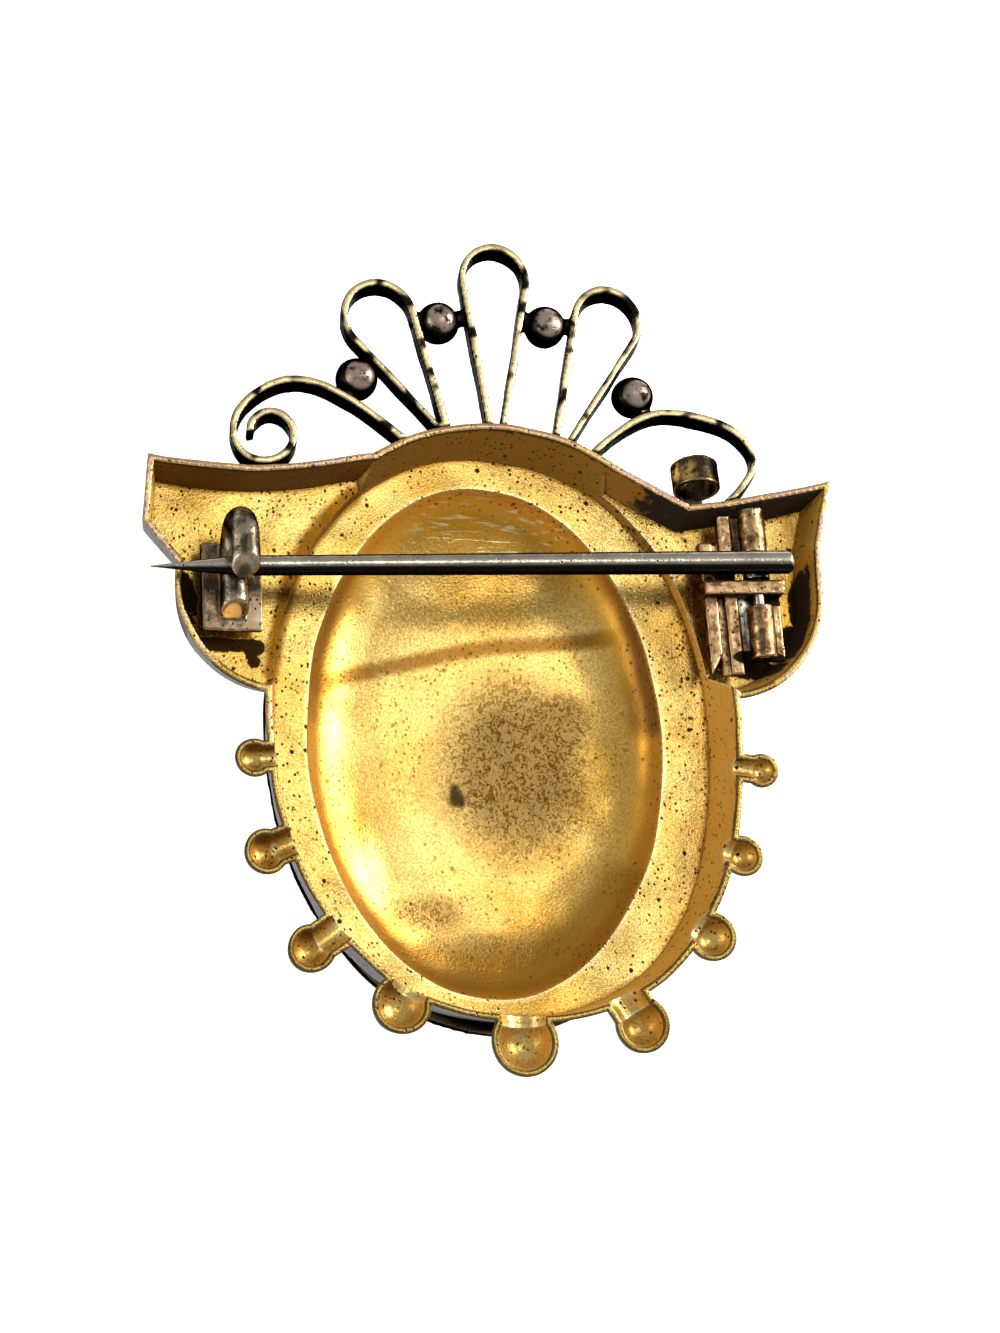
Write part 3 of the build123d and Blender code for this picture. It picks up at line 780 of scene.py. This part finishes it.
@dataclass(frozen=True)
class HelmetShell(Finish):
    """Carved helmet shell: a pale outer layer cut away down to the orange-brown ground, then oiled.

    Oil leaves a soft shine over both layers.
    """

    relief: str = "#F3E6D6"
    ground: str = "#B4683F"
    relief_height: float = 0.62
    roughness: float = 0.32

    def build(self) -> bpy.types.Material:
        """Builds the finish from the height above the table.

        Returns:
            The material.
        """
        paint, tree, place = self.start("helmet_shell")
        shader = tree.nodes["Principled BSDF"]
        height = add_node(tree, "ShaderNodeSeparateXYZ", {"Vector": place}).outputs["Z"]
        layer = add_node(
            tree,
            "ShaderNodeMapRange",
            {"Value": height, "From Min": 0.2 * MM, "From Max": self.relief_height * MM},
        ).outputs["Result"]
        growth = self.patches(tree, place, 6.0, 0.2, 0.8, 5.0)
        share = self.sum_up(tree, -0.15, ((growth, 0.3), (layer, 1.0)))
        base = add_node(tree, "ShaderNodeRGB")
        base.outputs["Color"].default_value = linear(self.relief)
        tree.links.new(
            self.coats(tree, base.outputs["Color"], ((self.ground, share),)), shader.inputs["Base Color"]
        )
        shader.inputs["Roughness"].default_value = self.roughness
        shader.inputs["IOR"].default_value = 1.53
        return paint


# Sub-assemblies


@dataclass
class Piece:
    """One node of the brooch, made again as an even mesh with worn corners, small dents and its finish."""

    node: str
    name: str
    grain: float
    finish: Finish
    slot: Slot
    body: Body = Body.BROOCH
    softening: int = 3
    dents: tuple[Dent, ...] = ()
    reach: float = 0.4
    occlusion_reach: float = 1.5

    def build(self, nodes: Mapping[str, bpy.types.Object], around: Surroundings) -> bpy.types.Object:
        """Makes the worn piece, dresses it and puts it in its node's place.

        Args:
            nodes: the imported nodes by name.
            around: the fixed metal round it.

        Returns:
            The finished object.
        """
        piece = self.even_mesh(nodes[self.node])
        mesh = piece.data
        self.dent(mesh)
        self.measure(mesh, around)
        self.mark(mesh)
        mesh.transform(Matrix.Scale(MM, 4))
        mesh.shade_smooth()
        mesh.materials.append(self.finish.build())
        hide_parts(self.node)
        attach(piece, self.body.value)
        LOG.info("%s: %d faces for node %s", self.name, len(mesh.polygons), self.node)
        return piece

    def even_mesh(self, node: bpy.types.Object) -> bpy.types.Object:
        """Copies the node's form as evenly spaced faces with eased corners.

        Args:
            node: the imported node.

        Returns:
            The new object, in millimetres.
        """
        rough = node.data.copy()
        rough.transform(Matrix.Scale(PER_MM, 4))
        piece = bpy.data.objects.new(self.name, rough)
        bpy.context.scene.collection.objects.link(piece)
        remesh = piece.modifiers.new("even_mesh", "REMESH")
        remesh.mode = "VOXEL"
        remesh.voxel_size = self.grain
        soften = piece.modifiers.new("worn_corners", "SMOOTH")
        soften.factor = 0.5
        soften.iterations = self.softening
        settled = piece.evaluated_get(bpy.context.evaluated_depsgraph_get())
        mesh = bpy.data.meshes.new_from_object(settled)
        mesh.name = self.name
        mesh.materials.clear()
        piece.modifiers.clear()
        piece.data = mesh
        bpy.data.meshes.remove(rough)
        return piece

    def dent(self, mesh: bpy.types.Mesh) -> None:
        """Moves each vertex along its normal by the dents' slow noise.

        Args:
            mesh: the mesh, in millimetres.
        """
        places = points(mesh)
        normals = normals_of(mesh)
        for layer in self.dents:
            depth = [noise.noise(sample) for sample in layer.samples(places)]
            places = places + normals * (np.array(depth) * layer.depth)[:, None]
        place_vertices(mesh, places)

    def measure(self, mesh: bpy.types.Mesh, around: Surroundings) -> None:
        """Stores how far each vertex stands out, lies back or is closed in.

        Args:
            mesh: the mesh, in millimetres.
            around: the fixed metal round it.
        """
        places = points(mesh)
        normals = normals_of(mesh)
        eased = spread(mesh, places, max(4, int((self.reach / self.grain) ** 2)))
        stand = ((places - eased) * normals).sum(axis=1) / self.reach
        store(mesh, Wear.EDGE, ease(0.04, 0.28, stand))
        store(mesh, Wear.NOOK, ease(0.03, 0.25, -stand))
        if self.occlusion_reach:
            closed = around.occlusion(places, normals, self.occlusion_reach)
            store(mesh, Wear.OCCLUSION, spread(mesh, closed, 3))

    def mark(self, mesh: bpy.types.Mesh) -> None:
        """Adds the piece's own marks to its mesh, in millimetres. A plain piece has none."""


@dataclass
class StampedBack(Piece):
    """The stamped sheet: pan, cup, wings and half-bead lobes."""

    rim_level: float = 9.5
    cup_level: float = 6.15
    cup_wall: tuple[float, float] = (3.7, 4.9)  # the heights between which the floor turns into the wall
    pan_half_width: float = 15.4
    pan_half_height: float = 19.1
    wall_shadow_from: float = 8.5  # painted shadow: the right wing's upper wall is black from here on
    longest_edge: float = 0.42
    rim_edge: float = 0.26
    cuts: int = 8
    rim_wear: float = 0.06
    cup_rounding: int = 24
    corner: float = 30.0  # degrees
    stains: tuple[Spot, ...] = (
        Spot(2.4, -6.2, 6.6, 7.6, 1.0),
        Spot(5.4, -3.4, 3.0, 3.0, 0.9),
        Spot(-4.0, -15.6, 3.4, 1.6, 0.7),
        Spot(0.2, -18.2, 6.0, 1.8, 0.8),
    )
    # painted reflection of the stem, a brown line across the cup
    stem_reflection: Streak = Streak(
        ((-10.7, -1.6), (-8.5, -0.6), (-4.7, 0.4), (-1.3, 1.3), (1.4, 1.8), (5.1, 2.1), (9.5, 2.5)),
        0.75,
        0.9,
    )
    scratched: Spot = Spot(1.0, 9.2, 7.0, 2.6, 1.0)
    chip: tuple[Streak, ...] = (
        Streak(((-1.5, -7.5), (-1.65, -8.4)), 0.45),
        Streak(((-1.4, -7.8), (-1.15, -8.4)), 0.5),
    )
    # painted shade in the crease where the left wing's floor meets the pan
    groove: Streak = Streak(
        (
            (-8.5, 10.4),
            (-10.1, 8.95),
            (-11.4, 7.3),
            (-12.2, 5.9),
            (-12.8, 4.3),
            (-13.5, 1.65),
            (-14.1, -1.5),
        ),
        0.85,
    )
    # painted shade on the cup's walls
    cup_shade: tuple[Streak, ...] = (
        Streak(((8.9, 7.9), (10.4, 4.8), (11.2, 0.9), (11.5, -2.8)), 2.2, 0.9),
        Streak(((11.5, -2.8), (11.4, -5.6), (10.6, -10.2), (9.0, -14.0)), 0.8, 0.3),
        Streak(
            ((9.0, -14.0), (6.1, -17.6), (2.0, -19.4), (-1.9, -19.6), (-5.8, -18.6), (-9.2, -16.2)), 2.4, 0.5
        ),
        Streak(((-9.0, 6.0), (-10.1, 4.0), (-10.5, 2.3), (-10.8, -0.4), (-11.0, -3.0)), 1.6, 0.6),
        Streak(((-11.0, -3.0), (-10.8, -6.4), (-10.1, -9.5), (-9.4, -12.2), (-9.6, -18.7)), 1.5, 0.4),
    )
    # painted shadows under the right wing's upper wall and the bail, round the hinge, and beside the catch
    painted_shadow: tuple[Spot, ...] = (
        Spot(12.6, 11.0, 3.8, 1.8),
        Spot(16.5, 10.6, 3.2, 1.0),
        Spot(21.4, 4.4, 1.6, 3.2, core=0.6),
        Spot(20.4, 1.6, 1.9, 1.9, core=0.6),
        Spot(17.6, 0.0, 2.4, 0.9, core=0.6),
        Spot(14.9, 0.5, 0.7, 0.8),
        Spot(-19.6, 2.7, 1.1, 2.6, core=0.7),
    )
    # painted shadows beside and below the catch's plate
    shadow_lines: tuple[Streak, ...] = (
        Streak(((-18.6, 0.3), (-14.9, 0.2)), 0.7),
        Streak(((-15.6, 0.2), (-15.2, -0.8)), 0.6),
    )

    def even_mesh(self, node: bpy.types.Object) -> bpy.types.Object:
        """Cuts the node's own thin faces small and parts them at its corners, which stay crisp.

        Args:
            node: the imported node.

        Returns:
            The new object, in millimetres.
        """
        cut = bmesh.new()
        cut.from_mesh(node.data)
        bmesh.ops.transform(cut, matrix=Matrix.Scale(PER_MM, 4), verts=cut.verts)
        bmesh.ops.remove_doubles(cut, verts=cut.verts, dist=0.0005)
        bmesh.ops.triangulate(cut, faces=cut.faces)
        for _ in range(self.cuts):
            long_edges = [edge for edge in cut.edges if edge.calc_length() > self.limit(edge)]
            bmesh.ops.subdivide_edges(cut, edges=long_edges, cuts=1)
            bmesh.ops.triangulate(cut, faces=[face for face in cut.faces if len(face.verts) > 3])
        corners = [
            edge for edge in cut.edges if edge.is_manifold and edge.calc_face_angle() > radians(self.corner)
        ]
        crease = cut.verts.layers.float.new(Wear.CREASE.value)
        for edge in corners:
            for vertex in edge.verts:
                if vertex.co.z < self.rim_level - 0.01:
                    vertex[crease] = -1.0 if edge.is_convex else 1.0
        bmesh.ops.split_edges(cut, edges=corners)
        # the rim's border vertices get -1, which the gilding paints in shade
        ridge = cut.verts.layers.float.new(Wear.RIM.value)
        for vertex in cut.verts:
            if vertex.co.z > self.rim_level - 0.01:
                vertex[ridge] = -1.0 if vertex.is_boundary else 1.0
                vertex.co.z -= self.rim_wear * vertex.is_boundary
        mesh = bpy.data.meshes.new(self.name)
        cut.to_mesh(mesh)
        cut.free()
        piece = bpy.data.objects.new(self.name, mesh)
        bpy.context.scene.collection.objects.link(piece)
        return piece

    def limit(self, edge: bmesh.types.BMEdge) -> float:
        """Returns how long an edge may be: shorter on the rim, for a row of vertices along its middle."""
        low = min(vertex.co.z for vertex in edge.verts)
        return self.rim_edge if low > self.rim_level - 0.01 else self.longest_edge

    def dent(self, mesh: bpy.types.Mesh) -> None:
        """Rounds the cup's wall into its floor and shifts both sides of the sheet together by slow noise.

        Args:
            mesh: the mesh, in millimetres.
        """
        places = points(mesh)
        in_cup = 1.0 - ease(self.cup_level - 0.7, self.cup_level - 0.1, places[:, 2])
        places = places + (spread(mesh, places, self.cup_rounding) - places) * in_cup[:, None]
        for layer in self.dents:
            pushes = [noise.noise_vector(sample) for sample in layer.samples(places)]
            places = places + np.array(pushes) * layer.depth
        place_vertices(mesh, places)

    def mark(self, mesh: bpy.types.Mesh) -> None:
        """Marks the gilt side, the cut edge, the stains, the scratches and the chip, and paints light: shade
        on walls and rim borders, bounced amber, the stem's reflection and near-black shadows.

        Args:
            mesh: the worn mesh, in millimetres.
        """
        places = points(mesh)
        normals = normals_of(mesh)
        store(mesh, Wear.HOLLOW, self.gilt_side(mesh, places, normals))
        steep = 1.0 - np.abs(normals[:, 2])
        store(mesh, Wear.STEEP, steep)
        cup_wall = ease(*self.cup_wall, places[:, 2]) * (1.0 - ease(6.0, self.cup_level, places[:, 2]))
        # painted bounced amber on steep walls and on the cup's wall
        store(mesh, Wear.THICK, 0.85 * np.maximum(steep, cup_wall))
        in_cup = 1.0 - ease(self.cup_level - 0.2, self.cup_level + 0.05, places[:, 2])
        outside = np.hypot(places[:, 0] / self.pan_half_width, places[:, 1] / self.pan_half_height)
        on_lobe = ease(1.0, 1.03, outside) * (places[:, 1] < -1.5)
        # the lobes' rims drop below 0, so they take painted shade
        rim = stored(mesh, Wear.RIM)
        store(mesh, Wear.RIM, np.where(rim > 0.0, rim - 1.6 * on_lobe, rim))
        store(mesh, Wear.STAIN, in_cup * np.max([spot.cover(places) for spot in self.stains], axis=0))
        # painted reflection of the stem across the cup
        store(mesh, Wear.STEM_REFLECTION, in_cup * self.stem_reflection.cover(places))
        store(mesh, Wear.SCRATCH, in_cup * self.scratched.cover(places))
        store(mesh, Wear.CHIP, in_cup * np.max([streak.cover(places) for streak in self.chip], axis=0))
        # painted shade on walls that face -y, stronger on the left, along the groove and on the cup's walls
        facing = ease(0.2, 0.8, -normals[:, 1]) * ease(6.0, 6.5, places[:, 2])
        left_shade = 1.0 - ease(-10.0, 0.0, places[:, 0])
        shade = facing * (0.6 + 0.4 * left_shade)
        shade = np.maximum(shade, self.groove.cover(places) * (places[:, 2] > 6.0))
        shaded = np.max([streak.cover(places) for streak in self.cup_shade], axis=0)
        store(mesh, Wear.SHADE, np.maximum(shade, in_cup * shaded))
        # painted shadows from the spots and lines, and on the right wing's upper wall
        low = 1.0 - ease(self.rim_level - 0.9, self.rim_level - 0.4, places[:, 2])
        painted_shadow = low * np.max([mark.cover(places) for mark in self.painted_shadow + self.shadow_lines], axis=0)
        wall_shadow = ease(self.wall_shadow_from, self.wall_shadow_from + 2.5, places[:, 0]) * ease(4.0, 6.0, places[:, 1])
        painted_shadow = np.maximum(painted_shadow, 0.9 * facing * wall_shadow)
        store(mesh, Wear.OCCLUSION, np.maximum(stored(mesh, Wear.OCCLUSION), painted_shadow))

    def gilt_side(self, mesh: bpy.types.Mesh, places: np.ndarray, normals: np.ndarray) -> np.ndarray:
        """Finds which side of the sheet each vertex is on, by looking level in eight directions.

        Args:
            mesh: the worn mesh.
            places: the vertices, in millimetres.
            normals: their normals.

        Returns:
            1 inside the hollow and 0 on the outer side.
        """
        faces = [tuple(face.vertices) for face in mesh.polygons]
        walls = BVHTree.FromPolygons(places.tolist(), faces)
        views = [(cos(pi * step / 4), sin(pi * step / 4), 0.0) for step in range(8)]
        side = np.empty(len(places))
        for index, start in enumerate((places + 0.35 * normals).tolist()):
            if normals[index, 2] > 0.7 and start[2] > self.rim_level:
                side[index] = 1.0
            else:
                side[index] = all(walls.ray_cast(start, view)[0] is not None for view in views)
        return side


@dataclass
class RibbonCrest(Piece):
    """Ribbons bent on edge, with the beads soldered between them."""

    ribbon_top: float = 9.45

    def mark(self, mesh: bpy.types.Mesh) -> None:
        """Rubs the ribbons' upper edges and the beads' tops pale, in ragged patches.

        Args:
            mesh: the worn mesh, in millimetres.
        """
        places = points(mesh)
        normals = normals_of(mesh)
        ragged = np.array([noise.noise(Vector(place) / 0.9) for place in places.tolist()])
        upper_edge = ease(0.7, 0.93, normals[:, 2]) * ease(-0.45, -0.05, ragged)
        upper_edge *= ease(self.ribbon_top - 0.3, self.ribbon_top - 0.1, places[:, 2])
        on_bead = ease(self.ribbon_top + 0.05, self.ribbon_top + 0.25, places[:, 2])
        store(mesh, Wear.EDGE, upper_edge * (1.0 - on_bead))
        store(mesh, Wear.ACCENT, on_bead)


@dataclass
class TubeBail(Piece):
    """The short tube for a chain, with a patch of gold on it."""

    gold_patch: Spot = Spot(12.75, 12.3, 0.9, 1.0)

    def mark(self, mesh: bpy.types.Mesh) -> None:
        """Marks the gold patch.

        Args:
            mesh: the worn mesh, in millimetres.
        """
        store(mesh, Wear.ACCENT, self.gold_patch.cover(points(mesh)))


@dataclass
class WireCatch(Piece):
    """The C-catch: thick wire on a plate."""

    plate_level: float = 8.6
    end_y: float = 2.9
    end_level: float = 10.3
    crater: Spot = Spot(-16.9, 3.5, 0.55, 0.55)
    sawn_face: Spot = Spot(-16.95, 1.7, 0.62, 0.5, core=0.8)

    def mark(self, mesh: bpy.types.Mesh) -> None:
        """Marks the plate's own metal and the wire's sawn end.

        Args:
            mesh: the worn mesh, in millimetres.
        """
        places = points(mesh)
        normals = normals_of(mesh)
        store(mesh, Wear.ACCENT, 1.0 - ease(self.plate_level - 0.05, self.plate_level + 0.1, places[:, 2]))
        sawn = ease(0.6, 0.8, -normals[:, 1]) * ease(0.3, 0.45, normals[:, 2])
        sawn *= places[:, 1] < self.end_y
        sawn *= (places[:, 2] > self.plate_level) & (places[:, 2] < self.end_level)
        store(mesh, Wear.RIM, sawn * self.sawn_face.cover(places))
        store(mesh, Wear.SHADE, self.crater.cover(places) * (places[:, 2] > self.end_level + 1.0))


@dataclass
class FoldedHinge(Piece):
    """The folded hinge plate with its end wall and fixed knuckles."""

    # painted shadows under the stem and behind the end wall
    painted_shadow: tuple[Spot, ...] = (
        Spot(16.9, 5.8, 3.2, 0.75, core=0.7),
        Spot(18.3, 4.2, 2.2, 0.45, core=0.6),
        Spot(17.4, 0.3, 2.1, 0.6, core=0.8),
    )
    shadow_level: float = 9.3
    solder: Streak = Streak(((16.7, 10.9), (17.0, 8.0), (16.3, 4.4), (16.9, 0.7)), 0.5)

    def mark(self, mesh: bpy.types.Mesh) -> None:
        """Paints shadow into the recesses under the stem and behind the end wall, and silvers the solder
        line.

        Args:
            mesh: the worn mesh, in millimetres.
        """
        places = points(mesh)
        low = 1.0 - ease(self.shadow_level - 0.3, self.shadow_level, places[:, 2])
        painted_shadow = low * np.max([spot.cover(places) for spot in self.painted_shadow], axis=0)
        store(mesh, Wear.OCCLUSION, np.maximum(stored(mesh, Wear.OCCLUSION), painted_shadow))
        store(mesh, Wear.ACCENT, low * self.solder.cover(places))


@dataclass
class PinStem(Piece):
    """The drawn wire stem with its knuckle."""

    def mark(self, mesh: bpy.types.Mesh) -> None:
        """Paints the stem's side that faces -y dark: painted shade standing in for the dark reflection along
        its underside.

        Args:
            mesh: the worn mesh, in millimetres.
        """
        normals = normals_of(mesh)
        store(mesh, Wear.SHADE, ease(0.1, 0.5, -normals[:, 1]))


@dataclass(frozen=True)
class Lamp:
    """A square soft light that faces the brooch, in millimetres."""

    name: str
    place: tuple[float, float, float]
    size: float
    glow: float  # how bright its face is, against a white wall of 1


@dataclass
class Studio:
    """The pale floor, the soft lights and the camera of the photograph."""

    lamps: tuple[Lamp, ...] = (
        Lamp("window_light", (170.0, 70.0, 120.0), 110.0, 13.0),
        Lamp("top_light", (60.0, 60.0, 260.0), 70.0, 4.0),
        Lamp("fill_light", (-200.0, -10.0, 70.0), 110.0, 4.0),
    )
    camera_place: Vector = field(default_factory=lambda: Vector((-76.32, -69.73, 256.95)))
    camera_ahead: Vector = field(default_factory=lambda: Vector((0.2844, 0.2561, -0.9239)))
    camera_up: Vector = field(default_factory=lambda: Vector((-0.0394, 0.966, 0.2556)))
    focal_pixels: float = 4320.0
    picture_height: float = 1333.0
    sensor: float = 36.0

    def build(self) -> None:
        """Sets the floor, the world, the lamps and the camera."""
        self.floor()
        self.world()
        for lamp in self.lamps:
            self.hang(lamp)
        self.camera()
        LOG.info("studio: floor, room, %d lamps and camera", len(self.lamps))

    def floor(self) -> None:
        """Lays the white floor under the brooch."""
        mesh = bpy.data.meshes.new("studio_floor")
        half = 3.0
        corners = [(-half, -half, 0.0), (half, -half, 0.0), (half, half, 0.0), (-half, half, 0.0)]
        mesh.from_pydata(corners, [], [(0, 1, 2, 3)])
        floor = bpy.data.objects.new("studio_floor", mesh)
        bpy.context.scene.collection.objects.link(floor)
        paint = bpy.data.materials.new("white_table")
        paint.use_nodes = True
        shader = paint.node_tree.nodes["Principled BSDF"]
        shader.inputs["Base Color"].default_value = linear("#F7F7F7")
        shader.inputs["Roughness"].default_value = 0.9
        shader.inputs["Emission Color"].default_value = linear("#FFFFFF")
        shader.inputs["Emission Strength"].default_value = 1.0
        mesh.materials.append(paint)

    def world(self) -> None:
        """Fills the room with soft light, brighter above and behind the brooch than on the camera's side."""
        world = bpy.data.worlds.new("studio_room")
        bpy.context.scene.world = world
        world.use_nodes = True
        tree = world.node_tree
        look = add_node(tree, "ShaderNodeTexCoord").outputs["Generated"]
        facing = add_node(
            tree, "ShaderNodeVectorMath", {0: look, 1: (0.15, 0.35, 0.92)}, operation="DOT_PRODUCT"
        ).outputs["Value"]
        glow = add_node(
            tree,
            "ShaderNodeMapRange",
            {"Value": facing, "From Min": 0.0, "From Max": 1.0, "To Min": 0.45, "To Max": 0.6},
        ).outputs["Result"]
        back = tree.nodes["Background"]
        back.inputs["Color"].default_value = (1.0, 1.0, 1.0, 1.0)
        tree.links.new(glow, back.inputs["Strength"])

    def hang(self, lamp: Lamp) -> None:
        """Hangs one lamp.

        Args:
            lamp: the lamp.
        """
        light = bpy.data.lights.new(lamp.name, "AREA")
        light.shape = "SQUARE"
        light.size = lamp.size * MM
        light.energy = lamp.glow * pi * (lamp.size * MM) ** 2
        place = Vector(lamp.place)
        turn = place.to_track_quat("Z", "Y").to_matrix().to_4x4()
        hung = bpy.data.objects.new(lamp.name, light)
        hung.matrix_world = Matrix.Translation(place * MM) @ turn
        bpy.context.scene.collection.objects.link(hung)

    def camera(self) -> None:
        """Sets the camera where the photograph was taken from."""
        ahead = self.camera_ahead.normalized()
        right = ahead.cross(self.camera_up).normalized()
        up = right.cross(ahead)
        lens = bpy.data.cameras.new("photo_camera")
        lens.sensor_width = self.sensor
        lens.lens = self.focal_pixels / self.picture_height * self.sensor
        lens.clip_start = 0.01
        camera = bpy.data.objects.new("photo_camera", lens)
        turn = Matrix((right, up, -ahead)).transposed().to_4x4()
        camera.matrix_world = Matrix.Translation(self.camera_place * MM) @ turn
        bpy.context.scene.collection.objects.link(camera)
        bpy.context.scene.camera = camera
        bpy.context.scene.view_settings.view_transform = "Standard"


def pieces() -> Iterable[Piece]:
    """Lists the brooch's pieces with their sizes and finishes.

    Returns:
        The pieces in the order in which they are built.
    """
    dark = PatinatedMetal("tarnished_brass", "#231E18", "#6E5E44", "#17120D", skin_least=0.95)
    bail = PatinatedMetal("bail_metal", "#2A241B", "#8E7A50", "#120E0A", accent="#C9A55E", skin_least=0.85)
    ribbon = PatinatedMetal(
        "rubbed_ribbon",
        "#12100D",
        "#D2BE8C",
        "#3A2416",
        accent="#B29C8C",
        skin_least=0.99,
        unpitted=0.75,
        corrosion=0.3,
    )
    wire = PatinatedMetal(
        "catch_metal", "#4A4438", "#B4A88E", "#1B150D", accent="#8A7358", skin_least=0.4, cloud_size=0.9
    )
    leaf = PatinatedMetal(
        "hinge_metal",
        "#4A3320",
        "#B8956A",
        "#1C120A",
        accent="#D8D4C4",
        skin_most=0.85,
        skin_least=0.1,
        cloud_size=0.6,
        unpitted=0.3,
        corrosion=1.5,
        edge_glint="#6A5540",
    )
    nickel = PatinatedMetal(
        "drawn_nickel",
        "#1C1916",
        "#B4AC9B",
        "#2A2622",
        skin_most=0.3,
        skin_least=0.05,
        cloud_size=2.0,
        unpitted=0.9,
        corrosion=0.1,
        roughness=0.2,
    )
    slow = (Dent(4.0, 0.1), Dent(1.6, 0.03, 5.0))
    fine = (Dent(2.2, 0.06), Dent(0.7, 0.02, 3.0))
    yield StampedBack(
        "shell",
        "stamped_back",
        0.215,
        WornGilding(),
        Slot.GILT_BRASS,
        dents=slow,
        reach=0.7,
        occlusion_reach=2.5,
    )
    yield Piece("bezel", "bezel_frame", 0.2, dark, Slot.DARK_BRASS, dents=slow)
    yield Piece(
        "cameo", "carved_plaque", 0.15, HelmetShell(), Slot.CARVED_SHELL, softening=2, occlusion_reach=0
    )
    yield RibbonCrest("crest_fan", "fan_ribbons", 0.09, ribbon, Slot.PALE_BRASS, dents=fine)
    yield RibbonCrest("left_scroll", "left_ribbon", 0.09, ribbon, Slot.PALE_BRASS, dents=fine)
    yield RibbonCrest("right_scroll", "right_ribbon", 0.09, ribbon, Slot.PALE_BRASS, dents=fine)
    yield TubeBail("bail", "chain_bail", 0.07, bail, Slot.DARK_BRASS, dents=fine)
    yield FoldedHinge(
        "hinge", "hinge_leaf", 0.08, leaf, Slot.GILT_BRASS, dents=(Dent(0.7, 0.03),), occlusion_reach=1.0
    )
    yield Piece("hinge_rivet", "hinge_pin", 0.06, nickel, Slot.NICKEL_SILVER, softening=2, occlusion_reach=0)
    yield PinStem(
        "pin", "pin_stem", 0.08, nickel, Slot.NICKEL_SILVER, Body.PIN, softening=2, occlusion_reach=0
    )
    yield WireCatch("catch", "catch_wire", 0.08, wire, Slot.DARK_BRASS, dents=fine)


def main() -> None:
    """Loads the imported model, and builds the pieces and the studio."""
    logging.basicConfig(level=logging.INFO, format="%(name)s: %(message)s")
    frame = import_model()
    around = Surroundings(frame["nodes"])
    for piece in pieces():
        piece.build(frame["nodes"], around)
    Studio().build()


if __name__ == "__main__":
    main()
